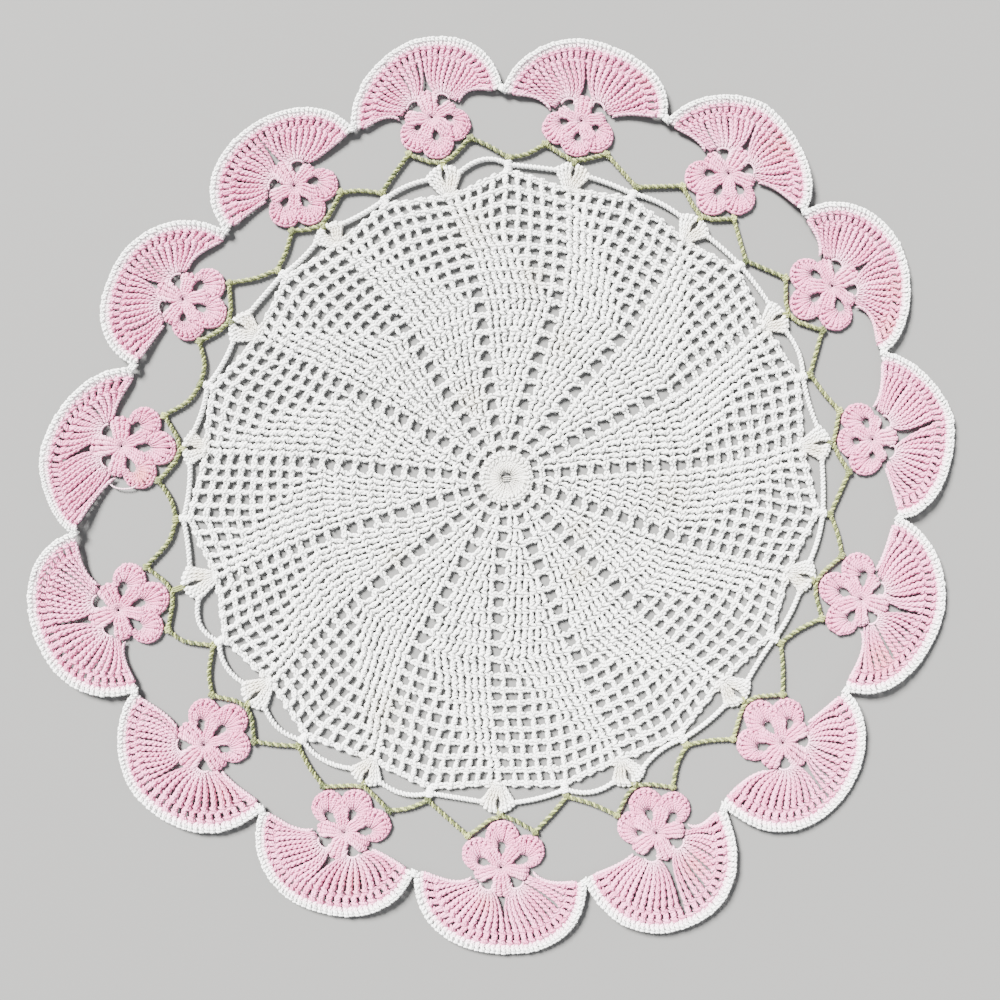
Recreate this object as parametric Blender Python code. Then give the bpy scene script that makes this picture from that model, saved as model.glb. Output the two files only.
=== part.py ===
"""Crocheted pansy doily, lying flat.

A white round of fifteen swirling sections carries fifteen fan shells and chain loops. A green chain round
joins it to fifteen pink pansies, and each pansy's big fan has a white edging row of its own.
Every piece is a thin flat sheet with its larger gaps cut through. The doily was pinned out by hand, so each
section and each pansy lies a little differently: two short tables give their places, in mm and degrees.
Angles run clockwise from +Y, seen from above. The origin is the centre of the bounding box, on the table.
"""
import math

import bmesh
import bpy

MM = 0.001
NAME = "pansy_doily"

# ---- driving dimensions, mm ----
HUB = (6.4, 7.2)            # centre of the white round, from the middle of the doily
GAP = 0.3                   # free space kept between neighbouring pieces
ROUND_THICKNESS = 1.6       # worked cotton thread, one layer
PANSY_THICKNESS = 1.8
EDGING_THICKNESS = 1.8
GREEN_THICKNESS = 1.6

EYE_RADIUS = 2.0            # hole in the starting ring
DISC_RADIUS = 10.8          # first round, worked into the ring
FIRST_ROW_RADIUS = 15.0     # outer edge of row 1
TALL_ROW = 6.78             # rows 2 to 10
ROW_11_RADIUS = 82.3
ROW_12_RADIUS = 88.0
LOW_ROW = 5.07              # rows 13 to 19
SOLID_ROWS = 10             # rows with one more stitch each; the mesh grows after them
LAST_ROW = 19
CUT_ROWS = range(2, 14)     # ray gaps wide enough to be cut through
RAY_GAP_FOOT = (2.3, 1.9)   # half widths of a ray gap at its inner side: before and after the ray
RAY_GAP_TOP = (1.0, 1.4)    # and at its outer side
RAY_GAP_BAR = 1.9           # chain bar between two ray gaps
PEAK_FIRST_ROW = 13         # the rows past this one rise towards the joins
PEAK_SHARPNESS = 1.6
SHELL_BEHIND_RAY = 1.9      # degrees from the end of a ray to its shell

SHELL_BASE = 2.5            # half width of a fan shell on the edge
SHELL_CORNER = (7.0, 9.4)   # its top corner: half width and height
SHELL_TOP = (3.6, 12.0)
SHELL_DIP = 11.2            # height of the notch in its top
LOOP_WIDTH = 2.5            # chain loop from a shell to a join
EDGE_PEAK_DROP = 2.1        # the edge's peak lies this much inside its join

GREEN_WIDTH = 1.9
GREEN_STANDOFF = 3.1        # from a join's centre to the green chain's centre line
GREEN_SLACK = 0.5           # the chain passes the petals with this much to spare

EDGING_WIDTH = 3.8
FAN_TIP_DROP = 1.4          # underside of a fan's tip below its corner
TIP_CLEARANCE = 0.5         # each fan stops this short of the tip it is tied to
PETAL_RADIUS = 6.9          # small petals
INNER_PETAL_REACH = 8.0     # flower centre to the centre of an inner petal's head
INNER_PETAL_RADIUS = 3.6
INNER_PETALS = (14, 173)    # directions of the two inner petals that show between fan and small petals
LEFT_EYE = (-6.7, 6.2)      # gaps under the two fans, where the fan is of usual height
RIGHT_EYE = (6.0, 7.0)
USUAL_APEX = 33.0
UPPER_EYE_SIZE = (2.7, 1.5)  # half length and half width
UPPER_EYE_TILT = 28         # the gaps' outer ends lie lower
PETAL_EYE = (1.25, 3.0)     # a side petal's gap, from its centre: towards the middle and out
BOTTOM_EYE_SHARE = 0.46     # the bottom petal's gap, as a share of the way to its tip
LOWER_EYE_SIZE = (1.9, 1.6)
LEFT_NOTCH = (-13.3, 1.6)   # where the fan meets the left small petal
RIGHT_NOTCH = (12.3, 4.0)

# ---- one row for each section of the white round ----
SECTION_COLUMNS = ("ray_start", "ray_middle", "shell", "join", "join_radius", "inner_stretch",
                   "outer_stretch", "bow_before", "bow_after", "green_bow_before", "green_bow_after")
SECTION_ROWS = (
    (12.7, 16.0, 12.3, 24.0, 128.0, 0.994, 0.985, 0.0, 1.0, 0.0, 0.0),
    (37.5, 39.3, 36.7, 47.7, 130.0, 1.017, 0.992, 0.0, 0.0, 0.0, 0.0),
    (61.0, 61.9, 59.4, 71.1, 129.0, 1.017, 0.999, 1.5, -1.2, 0.0, -0.5),
    (84.0, 85.7, 83.7, 96.3, 131.0, 1.000, 0.993, 0.0, 0.5, 0.0, 0.7),
    (108.5, 109.2, 108.2, 121.0, 128.6, 0.983, 0.993, 0.5, -0.8, -1.0, 0.5),
    (134.6, 134.3, 133.0, 146.0, 129.6, 0.966, 0.991, 0.5, -2.2, -0.8, -1.6),
    (160.3, 158.6, 157.7, 169.3, 130.4, 1.000, 1.014, 2.6, 0.5, -1.0, 0.3),
    (184.6, 183.6, 181.5, 193.7, 133.6, 0.994, 1.021, -0.4, 2.4, 0.0, 1.2),
    (207.6, 207.9, 205.3, 217.9, 136.7, 1.034, 1.043, 2.6, 2.6, 0.8, 0.5),
    (229.7, 230.7, 229.2, 240.3, 136.1, 1.045, 1.043, 2.6, 4.0, 1.8, 3.0),
    (251.4, 252.1, 251.4, 262.8, 134.1, 1.023, 1.025, -0.9, -1.4, -3.0, -1.5),
    (273.4, 274.5, 275.4, 287.1, 128.8, 1.011, 1.010, -1.4, -1.4, -2.5, -2.0),
    (299.5, 299.7, 299.7, 312.3, 124.5, 0.949, 0.958, -0.3, -1.2, -1.3, -0.8),
    (324.0, 325.9, 324.0, 336.3, 125.0, 0.949, 0.963, -1.0, 1.0, 1.0, 0.3),
    (348.2, 351.4, 348.3, 360.3, 129.0, 0.983, 0.961, 3.6, -0.3, 0.5, -1.5),
)

# ---- one row for each pansy: places are across (clockwise) and out from its flower's centre ----
# the knots, where the green chain is tied to the side petals, are directions from the petals' centres, and
# the hollows are how far the fan's lower sides arch up between tip and notch
PANSY_COLUMNS = ("angle", "radius", "turn", "chin", "left_tip", "right_tip", "apex",
                 "left_fullness", "right_fullness", "crown_lift", "next_tip_lift",
                 "left_petal", "left_knot", "right_petal", "right_knot", "left_hollow", "right_hollow")
PANSY_ROWS = (
    (348.3, 151.5, 0, 17.3, (-33.4, 2.4), (31.1, 7.1), (0.8, 32.4), 1.7, 2.2, 0.8, 1.0,
     (-7.5, -5.8), -125, (8.3, -4.6), -50, 2.3, 3.0),
    (11.8, 150.1, 0, 14.9, (-34.3, 6.1), (34.3, 8.8), (-3.3, 32.8), 1.8, 2.1, 1.0, 1.5,
     (-8.3, -4.6), -119, (7.5, -4.6), -49, 2.5, 1.2),
    (36.1, 155.0, 4, 19.0, (-33.5, 3.3), (34.7, 6.6), (-3.2, 31.4), 1.7, 1.7, 1.5, 2.2,
     (-8.1, -7.7), -120, (9.3, -5.6), -68, 1.5, 1.5),
    (59.5, 155.5, 3, 19.4, (-32.6, 5.5), (34.7, 4.9), (-2.0, 32.6), 2.0, 1.7, 1.0, 1.2,
     (-9.3, -6.7), -113, (10.6, -4.5), -70, 1.8, 3.2),
    (84.0, 151.4, -1, 14.4, (-35.5, 8.3), (33.9, 8.3), (-4.9, 33.5), 1.5, 1.9, 1.4, 1.8,
     (-8.7, -4.8), -121, (7.5, -3.6), -57, 1.8, 0.3),
    (108.9, 154.3, -4, 18.2, (-37.2, 3.4), (37.6, 6.5), (-2.3, 33.6), 1.8, 2.1, 1.2, 2.0,
     (-11.2, -5.2), -112, (9.9, -4.6), -72, 0.8, 2.5),
    (133.8, 157.5, -6, 20.7, (-33.9, 4.4), (35.9, 0.2), (2.7, 33.6), 1.9, 2.2, 0.8, 1.0,
     (-9.3, -6.7), -126, (8.7, -8.3), -60, 0.2, -2.0),
    (157.1, 158.7, -2, 19.4, (-30.2, 2.8), (35.1, 6.7), (2.0, 39.9), 2.2, 2.1, 1.6, 1.0,
     (-10.3, -6.7), -111, (7.5, -5.8), -57, 2.2, 1.0),
    (180.8, 160.3, -1, 19.4, (-35.5, 6.5), (35.9, 3.4), (-2.6, 35.2), 2.2, 2.2, 0.8, 1.5,
     (-10.8, -6.7), -110, (9.3, -5.3), -58, 2.5, 2.5),
    (204.6, 160.4, 1, 18.6, (-33.4, 3.8), (35.1, 6.9), (5.9, 34.4), 2.2, 1.8, 1.0, 1.0,
     (-10.0, -7.6), -110, (10.2, -6.7), -52, -0.4, 2.0),
    (228.6, 165.9, 0, 21.5, (-36.3, 0.2), (35.6, 7.7), (3.8, 34.9), 2.2, 1.6, 0.8, 1.4,
     (-8.5, -8.6), -118, (8.8, -8.1), -62, 0.8, -1.2),
    (251.2, 168.6, 0, 21.5, (-34.3, 4.2), (36.4, 8.2), (2.8, 35.7), 2.2, 2.0, 1.2, 2.4,
     (-10.3, -8.6), -116, (10.3, -8.1), -70, 2.0, 2.5),
    (274.7, 158.9, 2, 22.3, (-37.6, 15.7), (32.6, -0.8), (-9.1, 32.5), 1.5, 1.8, 1.6, 1.6,
     (-10.0, -8.1), -110, (10.1, -8.6), -62, 1.5, 1.0),
    (298.9, 152.0, 4, 19.0, (-34.2, 4.8), (33.4, -1.1), (-1.0, 31.1), 2.2, 2.0, 0.8, 1.0,
     (-7.8, -6.6), -119, (10.2, -6.1), -55, 0.3, 2.0),
    (324.0, 148.5, -3, 17.8, (-34.3, 2.7), (33.4, 5.6), (-0.2, 30.2), 2.2, 1.9, 0.9, 1.0,
     (-8.9, -6.1), -109, (9.3, -6.1), -57, 0.5, -0.3),
)
SECTIONS = [dict(zip(SECTION_COLUMNS, row)) for row in SECTION_ROWS]
PANSIES = [dict(zip(PANSY_COLUMNS, row)) for row in PANSY_ROWS]
COUNT = len(SECTIONS)

# ---- finishes: base colour, roughness ----
FINISHES = {
    "white_cotton": ((0.80, 0.78, 0.73), 0.85),
    "pink_cotton": ((0.78, 0.50, 0.56), 0.85),
    "green_cotton": ((0.42, 0.46, 0.24), 0.85),
}


# ---- places on the doily ----
def polar(angle, radius):
    """Point at a clockwise angle and a radius from the hub."""
    turn = math.radians(angle)
    return (HUB[0] + radius * math.sin(turn), HUB[1] + radius * math.cos(turn))


def beside(angle, radius, across, out):
    """Point given by offsets from polar(angle, radius): clockwise across and outwards."""
    turn = math.radians(angle)
    x, y = polar(angle, radius + out)
    return (x + across * math.cos(turn), y - across * math.sin(turn))


def smooth(value):
    """Ease from 0 to 1."""
    value = min(max(value, 0.0), 1.0)
    return value * value * (3 - 2 * value)


def around(keys, values, angle):
    """Ease between the values given at the key angles, round the circle."""
    for index, key in enumerate(keys):
        following = (index + 1) % len(keys)
        span = (keys[following] - key) % 360
        past = (angle - key) % 360
        if past <= span:
            share = smooth(past / span)
            return values[index] * (1 - share) + values[following] * share
    return values[0]


def column(name):
    """One column of the section table."""
    return [section[name] for section in SECTIONS]


def plain_row_radius(row):
    """Outer radius of a row before any stretch."""
    if row == 0:
        return DISC_RADIUS
    if row <= SOLID_ROWS:
        return FIRST_ROW_RADIUS + TALL_ROW * (row - 1)
    if row == SOLID_ROWS + 1:
        return ROW_11_RADIUS
    return ROW_12_RADIUS + LOW_ROW * (row - SOLID_ROWS - 2)


def stretch(angle, row):
    """How far this direction is pulled out, from the inner to the outer column."""
    share = min(max((row - SOLID_ROWS) / (LAST_ROW - SOLID_ROWS), 0), 1)
    inner = around(column("ray_middle"), column("inner_stretch"), angle)
    outer = around(column("shell"), column("outer_stretch"), angle)
    return inner * (1 - share) + outer * share


def peak_rise(angle):
    """Extra radius of the last row: none at a shell, most at a join."""
    for index, section in enumerate(SECTIONS):
        start = section["shell"]
        span = (SECTIONS[(index + 1) % COUNT]["shell"] - start) % 360
        past = (angle - start) % 360
        if past <= span:
            middle = (section["join"] - start) % 360
            nearness = past / middle if past < middle else (span - past) / (span - middle)
            flat = plain_row_radius(LAST_ROW) * stretch(section["join"], LAST_ROW)
            return (section["join_radius"] - EDGE_PEAK_DROP - flat) * nearness ** PEAK_SHARPNESS
    return 0.0


def row_radius(angle, row):
    """Outer radius of a row in a direction."""
    if row == 0:
        return DISC_RADIUS
    radius = plain_row_radius(row) * stretch(angle, row)
    if row > PEAK_FIRST_ROW:
        share = (row - PEAK_FIRST_ROW) / (LAST_ROW - PEAK_FIRST_ROW)
        radius += peak_rise(angle) * share ** 1.5
    return radius


def ray_angle(section, row):
    """Direction of a section's ray gap in a row: it swings out to row 9, then drifts back to its shell."""
    if row <= SOLID_ROWS:
        share = min(1, (row - 1) / (SOLID_ROWS - 2))
        return section["ray_start"] + (section["ray_middle"] - section["ray_start"]) * share
    end = section["shell"] - SHELL_BEHIND_RAY
    share = (row - SOLID_ROWS) / (LAST_ROW - SOLID_ROWS)
    return section["ray_middle"] + (end - section["ray_middle"]) * share


# ---- outlines ----
def ray_gap(section, row):
    """Four-cornered gap between two stitch groups."""
    angle = ray_angle(section, row)
    inner = row_radius(angle, row - 1) + RAY_GAP_BAR / 2
    outer = row_radius(angle, row) - RAY_GAP_BAR / 2
    size = 1.0 if row > 2 else 0.8
    return [beside(angle, inner, -RAY_GAP_FOOT[0] * size, 0), beside(angle, outer, -RAY_GAP_TOP[0] * size, 0),
            beside(angle, outer, RAY_GAP_TOP[1] * size, 0), beside(angle, inner, RAY_GAP_FOOT[1] * size, 0)]


def shell_point(section, across, out):
    """Point on a fan shell, from its base on the edge; it is pressed down where its pansy's chin is low."""
    base = row_radius(section["shell"], LAST_ROW)
    pansy = PANSIES[(SECTIONS.index(section) + 1) % COUNT]
    room = pansy["radius"] - pansy["chin"] - GREEN_WIDTH - GREEN_SLACK - 2 * GAP - base
    return beside(section["shell"], base, across, out * min(1.0, room / SHELL_TOP[1]))


def loop_points(start, end, bow, offset, inset):
    """Chain loop from a shell corner to a join as one side line: bowed out, moved by offset.

    start and end are (angle, radius); inset trims the ends by that share of the length.
    """
    points = []
    steps = 5
    for step in range(steps + 1):
        share = inset[0] + (1 - inset[0] - inset[1]) * step / steps
        angle = start[0] + (end[0] - start[0]) * share
        radius = start[1] + (end[1] - start[1]) * share + bow * 4 * share * (1 - share)
        points.append(polar(angle, radius + offset))
    return points


def corner_place(section, side):
    """Angle and radius of a shell's top corner; side is -1 or 1."""
    across, out = SHELL_CORNER
    radius = row_radius(section["shell"], LAST_ROW) + out
    angle = section["shell"] + side * math.degrees((across - LOOP_WIDTH / 2) / radius)
    return (angle, radius - LOOP_WIDTH / 2)


def round_outline():
    """Outer side of the shells and the chain loops, once round."""
    points = []
    half = LOOP_WIDTH / 2
    for index, section in enumerate(SECTIONS):
        before = SECTIONS[index - 1]
        join = (before["join"] - (360 if before["join"] > section["shell"] else 0), before["join_radius"])
        corner = corner_place(section, -1)
        points += loop_points(join, corner, before["bow_after"], half, (0.0, 0.12))
        for across, out in ((-SHELL_CORNER[0], SHELL_CORNER[1]), (-SHELL_TOP[0], SHELL_TOP[1]),
                            (0, SHELL_DIP), SHELL_TOP, SHELL_CORNER):
            points.append(shell_point(section, across, out))
        join = (section["join"], section["join_radius"])
        points += loop_points(corner_place(section, 1), join, section["bow_before"], half, (0.12, 0.0))[:-1]
    return points


def loop_gap(section, side):
    """Crescent between a chain loop and the edge, on one side of a shell."""
    index = SECTIONS.index(section)
    if side > 0:
        join = (section["join"], section["join_radius"])
        bow = section["bow_before"]
    else:
        before = SECTIONS[index - 1]
        join = (before["join"] - (360 if before["join"] > section["shell"] else 0), before["join_radius"])
        bow = before["bow_after"]
    points = loop_points(corner_place(section, side), join, bow, -LOOP_WIDTH / 2, (0.08, 0.16))
    base = section["shell"] + side * math.degrees((SHELL_BASE + 0.8) / row_radius(section["shell"], LAST_ROW))
    last = join[0] + (section["shell"] - join[0]) * 0.16
    for share in (0.0, 0.3, 0.65, 1.0):
        angle = last + (base - last) * share
        points.append(polar(angle, row_radius(angle, LAST_ROW) + 0.5))
    return points


def dome(pansy, inset):
    """A fan's outer curve from the left tip over the apex to the right tip, moved in by inset."""
    left, right, apex = pansy["left_tip"], pansy["right_tip"], pansy["apex"]
    points = []
    steps = 9
    for side, tip, power in ((-1, left, pansy["left_fullness"]), (1, right, pansy["right_fullness"])):
        reach = abs(tip[0] - apex[0]) - inset - TIP_CLEARANCE
        height = apex[1] - inset - tip[1]
        quarter = []
        for step in range(steps + 1):
            turn = math.pi / 2 * step / steps
            quarter.append((apex[0] + side * reach * math.cos(turn) ** (2 / power),
                            tip[1] + height * math.sin(turn) ** (2 / power)))
        points += quarter if side < 0 else quarter[-2::-1]
    return points


def toward(direction, distance):
    """Offset in a direction, anticlockwise from across."""
    turn = math.radians(direction)
    return (distance * math.cos(turn), distance * math.sin(turn))


def small_petals(pansy):
    """Centres of the left, bottom and right small petals."""
    bottom = toward(pansy["turn"] - 90, pansy["chin"] - PETAL_RADIUS)
    return (pansy["left_petal"], bottom, pansy["right_petal"])


def petal_reach(petals, direction):
    """Distance from the flower's centre to the far side of the round petals in a direction."""
    turn = math.radians(direction)
    reach = 0.0
    for x, y, radius in petals:
        along = x * math.cos(turn) + y * math.sin(turn)
        aside = x * math.sin(turn) - y * math.cos(turn)
        if abs(aside) < radius:
            reach = max(reach, along + math.sqrt(radius ** 2 - aside ** 2))
    return reach


def fan_underside(notch, corner, hollow):
    """Lower side of a fan, from the notch by the small petals to the fan's tip."""
    points = []
    for share in (0.0, 0.15, 0.4, 0.7, 1.0):
        points.append((notch[0] + (corner[0] - notch[0]) * share,
                       notch[1] + (corner[1] - notch[1]) * share + hollow * math.sin(math.pi * share ** 0.7)))
    return points


def pansy_outline(pansy):
    """Pink part: the fan inside its edging, then round the small petals."""
    arch = dome(pansy, EDGING_WIDTH + GAP * 1.4)
    left_corner = (arch[0][0] + 0.3, arch[0][1] - FAN_TIP_DROP)
    right_corner = (arch[-1][0] - 0.3, arch[-1][1] - FAN_TIP_DROP)
    points = fan_underside(LEFT_NOTCH, left_corner, pansy["left_hollow"]) + arch
    points += fan_underside(RIGHT_NOTCH, right_corner, pansy["right_hollow"])[::-1]
    petals = [(x, y, PETAL_RADIUS) for x, y in small_petals(pansy)]
    petals += [(*toward(direction, INNER_PETAL_REACH), INNER_PETAL_RADIUS) for direction in INNER_PETALS]
    first = math.degrees(math.atan2(RIGHT_NOTCH[1], RIGHT_NOTCH[0])) - 9
    last = -(360 - math.degrees(math.atan2(LEFT_NOTCH[1], LEFT_NOTCH[0]) % (2 * math.pi))) + 9
    steps = 22
    for step in range(steps + 1):
        direction = first + (last - first) * step / steps
        reach = petal_reach(petals, direction)
        turn = math.radians(direction)
        points.append((reach * math.cos(turn), reach * math.sin(turn)))
    return points


def edging_outline(pansy):
    """White row along the fan's outer curve."""
    outer = dome(pansy, 0.0)
    inner = dome(pansy, EDGING_WIDTH)
    drop = FAN_TIP_DROP
    return ([(outer[0][0] + 0.8, outer[0][1] - drop)] + outer + [(outer[-1][0] - 0.8, outer[-1][1] - drop)]
            + [(inner[-1][0], inner[-1][1] - drop)] + inner[::-1] + [(inner[0][0], inner[0][1] - drop)])


def flower_gaps(pansy):
    """Centre, half sizes and tilt of the gaps in the flower: two under the fans, one in each small petal."""
    left, bottom, right = small_petals(pansy)
    height = pansy["apex"][1] / USUAL_APEX
    across, out = PETAL_EYE
    return (((LEFT_EYE[0], LEFT_EYE[1] * height), UPPER_EYE_SIZE, UPPER_EYE_TILT),
            ((RIGHT_EYE[0], RIGHT_EYE[1] * height), UPPER_EYE_SIZE, -UPPER_EYE_TILT),
            ((left[0] + across, left[1] + out), LOWER_EYE_SIZE, 0),
            (toward(pansy["turn"] - 90, pansy["chin"] * BOTTOM_EYE_SHARE), LOWER_EYE_SIZE, 90),
            ((right[0] - across, right[1] + out), LOWER_EYE_SIZE, 0))


def eye_outline(centre, half_sizes, tilt):
    """Small six-sided gap in the flower."""
    turn = math.radians(tilt)
    points = []
    for corner in range(6):
        phase = math.radians(60 * corner)
        across = half_sizes[0] * math.cos(phase)
        out = half_sizes[1] * math.sin(phase)
        points.append((centre[0] + across * math.cos(turn) - out * math.sin(turn),
                       centre[1] + across * math.sin(turn) + out * math.cos(turn)))
    return points


def on_doily(pansy, points):
    """From a pansy's own across and out to the doily's plane."""
    return [beside(pansy["angle"], pansy["radius"], across, out) for across, out in points]


def bowed(start, end, bow):
    """Middle of a chain between two points, bowed away from the hub."""
    middle = (0.5 * (start[0] + end[0]), 0.5 * (start[1] + end[1]))
    out = (middle[0] - HUB[0], middle[1] - HUB[1])
    far = math.hypot(*out)
    return (middle[0] + bow * out[0] / far, middle[1] + bow * out[1] / far)


def green_path():
    """Centre line of the green chain: join, left petal, bottom petal's tip, right petal, next join."""
    stand = GAP + GREEN_SLACK + GREEN_WIDTH / 2
    points = []
    for index, section in enumerate(SECTIONS):
        before = SECTIONS[index - 1]
        pansy = PANSIES[(index + 1) % COUNT]
        left, bottom, right = small_petals(pansy)
        corners = []
        for (x, y), direction in ((left, pansy["left_knot"]), (bottom, -125), (bottom, -90), (bottom, -55),
                                  (right, pansy["right_knot"])):
            across, out = toward(direction, PETAL_RADIUS + stand)
            corners.append((x + across, y + out))
        corners = on_doily(pansy, corners)
        join = polar(before["join"], before["join_radius"] + GREEN_STANDOFF)
        following = polar(section["join"], section["join_radius"] + GREEN_STANDOFF)
        points.append(join)
        points.append(bowed(join, corners[0], before["green_bow_after"]))
        points += corners
        points.append(bowed(corners[-1], following, section["green_bow_before"]))
    return points


def strip_sides(path, width):
    """Two closed side lines of a closed strip, mitred at the corners."""
    sides = ([], [])
    count = len(path)
    for index, (x, y) in enumerate(path):
        ax, ay = path[index - 1]
        bx, by = path[(index + 1) % count]
        first = math.atan2(y - ay, x - ax)
        second = math.atan2(by - y, bx - x)
        bend = (second - first + math.pi) % (2 * math.pi) - math.pi
        normal = first + bend / 2 + math.pi / 2
        reach = width / 2 / max(math.cos(bend / 2), 0.6)
        for side, sign in zip(sides, (1, -1)):
            side.append((x + sign * reach * math.cos(normal), y + sign * reach * math.sin(normal)))
    return sides


# ---- Blender objects ----
def clear_scene():
    """Start from an empty scene."""
    for item in list(bpy.data.objects):
        bpy.data.objects.remove(item, do_unlink=True)


def cotton(finish):
    """Matte cotton thread in one of the three colours."""
    material = bpy.data.materials.new(finish)
    material.use_nodes = True
    colour, roughness = FINISHES[finish]
    shader = material.node_tree.nodes["Principled BSDF"]
    shader.inputs["Base Color"].default_value = (*colour, 1.0)
    shader.inputs["Roughness"].default_value = roughness
    shader.inputs["Metallic"].default_value = 0.0
    return material


def sheet(name, outlines, thickness, material, collection, lift=None):
    """Flat sheet standing on the table: the first outline, with the others cut through it.

    lift, where given, raises each point of the sheet by its own height.
    """
    curve = bpy.data.curves.new(name, "CURVE")
    curve.dimensions = "2D"
    curve.fill_mode = "BOTH"
    curve.extrude = thickness * MM / 2
    for outline in outlines:
        spline = curve.splines.new("POLY")
        spline.points.add(len(outline) - 1)
        for point, (x, y) in zip(spline.points, outline):
            point.co = (x * MM, y * MM, 0, 1)
        spline.use_cyclic_u = True
    drawn = bpy.data.objects.new(name + "_curve", curve)
    collection.objects.link(drawn)
    bpy.context.view_layer.update()
    mesh = bpy.data.meshes.new_from_object(drawn.evaluated_get(bpy.context.evaluated_depsgraph_get()))
    bpy.data.objects.remove(drawn, do_unlink=True)
    shape = bmesh.new()
    shape.from_mesh(mesh)
    bmesh.ops.remove_doubles(shape, verts=shape.verts, dist=0.00001)
    for vertex in shape.verts:
        vertex.co.z += thickness * MM / 2
        if lift:
            vertex.co.z += lift(vertex.co.x / MM, vertex.co.y / MM) * MM
    bmesh.ops.recalc_face_normals(shape, faces=shape.faces)
    shape.to_mesh(mesh)
    shape.free()
    mesh.name = name
    mesh.materials.clear()
    mesh.materials.append(material)
    piece = bpy.data.objects.new(name, mesh)
    collection.objects.link(piece)
    return piece


def pansy_lift(index):
    """Height of a pansy's fan off the table: its tips and its crown stand up a little."""
    pansy = PANSIES[index]
    before = PANSIES[index - 1]["next_tip_lift"]

    def lift(x, y):
        turn = math.radians(pansy["angle"])
        fx, fy = polar(pansy["angle"], pansy["radius"])
        across = (x - fx) * math.cos(turn) - (y - fy) * math.sin(turn)
        out = (x - fx) * math.sin(turn) + (y - fy) * math.cos(turn)
        tip = pansy["left_tip"][0] if across < 0 else pansy["right_tip"][0]
        tip_lift = before if across < 0 else pansy["next_tip_lift"]
        crown = pansy["crown_lift"] * smooth(out / pansy["apex"][1])
        return smooth((out + 4) / 8) * (tip_lift * smooth(across / tip) ** 2 + crown)

    return lift


def white_round(material, collection):
    """The white round with its ray gaps, fan shells and chain loops."""
    eye = [polar(60 * corner, EYE_RADIUS) for corner in range(6)]
    outlines = [round_outline(), eye]
    for section in SECTIONS:
        outlines += [ray_gap(section, row) for row in CUT_ROWS]
        outlines += [loop_gap(section, side) for side in (-1, 1)]
    return sheet("white_round", outlines, ROUND_THICKNESS, material, collection)


def green_round(material, collection):
    """The green chain that joins the pansies to the white round."""
    return sheet("green_round", strip_sides(green_path(), GREEN_WIDTH), GREEN_THICKNESS, material, collection)


def pansy_pieces(index, pink, white, collection):
    """One pansy and the white edging row of its fan."""
    pansy = PANSIES[index]
    outlines = [pansy_outline(pansy)]
    outlines += [eye_outline(*gap) for gap in flower_gaps(pansy)]
    placed = [on_doily(pansy, points) for points in outlines]
    lift = pansy_lift(index)
    number = f"{index + 1:02d}"
    sheet("pansy_" + number, placed, PANSY_THICKNESS, pink, collection, lift)
    edging = on_doily(pansy, edging_outline(pansy))
    sheet("edging_" + number, [edging], EDGING_THICKNESS, white, collection, lift)


def build():
    """Make every piece of the doily."""
    clear_scene()
    collection = bpy.data.collections.new(NAME)
    bpy.context.scene.collection.children.link(collection)
    white = cotton("white_cotton")
    pink = cotton("pink_cotton")
    green = cotton("green_cotton")
    white_round(white, collection)
    green_round(green, collection)
    for index in range(COUNT):
        pansy_pieces(index, pink, white, collection)


build()
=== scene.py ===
"""Crocheted pansy doily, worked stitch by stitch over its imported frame.

Every stitch is made of cotton strands laid in a four-cornered cell: a post is two strands side by side or
twisted, some with a wrap across, and row tops and chains are open V links. The cells come from the same two
tables as the frame's solids, so each piece lies on its solid. Lengths are in mm until a mesh is made in
metres. Seen from above, angles round the hub run clockwise from +Y, and directions in a pansy's own plane
run anticlockwise from its across.
"""
import math

import bpy
import numpy as np
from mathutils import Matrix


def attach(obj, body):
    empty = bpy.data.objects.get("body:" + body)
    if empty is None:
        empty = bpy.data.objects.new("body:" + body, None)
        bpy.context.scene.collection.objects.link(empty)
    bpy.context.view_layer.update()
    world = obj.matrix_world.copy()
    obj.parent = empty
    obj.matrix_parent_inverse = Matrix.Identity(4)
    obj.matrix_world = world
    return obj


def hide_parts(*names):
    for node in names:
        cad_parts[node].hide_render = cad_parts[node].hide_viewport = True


MM = 0.001
TINY = 1e-6                 # what is smaller counts as nothing
RANDOM = np.random.default_rng(15)
SECTION_SEED = 100          # a section's wobbles have seeds of their own, with these added
FOOT_SEED = 30
POST_SEED = 50

# ---- the doily's own dimensions, as in its frame ----
HUB = (6.4, 7.2)            # centre of the white round, from the middle of the doily
GAP = 0.3                   # free space between neighbouring pieces
EYE_RADIUS = 2.0            # hole in the starting ring
DISC_RADIUS = 10.8          # first round, worked into the ring
FIRST_ROW_RADIUS = 15.0     # outer edge of row 1
TALL_ROW = 6.78             # rows 2 to 10
ROW_11_RADIUS = 82.3
ROW_12_RADIUS = 88.0
LOW_ROW = 5.07              # rows 13 to 19
SOLID_ROWS = 10             # rows with one more stitch each; the mesh grows after them
LAST_ROW = 19
PEAK_FIRST_ROW = 13         # the rows past this one rise towards the joins
PEAK_SHARPNESS = 1.6
PEAK_GROWTH = 1.5           # power by which they grow to their peaks
SHELL_BEHIND_RAY = 1.9      # degrees from the end of a ray to its shell
SHELL_HEIGHT = 12.0
EDGE_PEAK_DROP = 2.1        # the edge's peak lies this much inside its join
GREEN_WIDTH = 1.9
GREEN_STANDOFF = 3.1        # from a join's centre to the green chain's centre line
GREEN_SLACK = 0.5           # the chain passes the petals with this much to spare
EDGING_WIDTH = 3.8
FAN_TIP_DROP = 1.4          # underside of a fan's tip below its corner
HOLLOW_SKEW = 0.7           # a fan's underside arches up most nearer to its notch
DOME_POINTS = 40            # of one half of a fan's outer curve
TIP_STEP = 0.2              # its corner stands this far from its first points
TIP_CLEARANCE = 0.5         # each fan stops this short of the tip it is tied to
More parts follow.
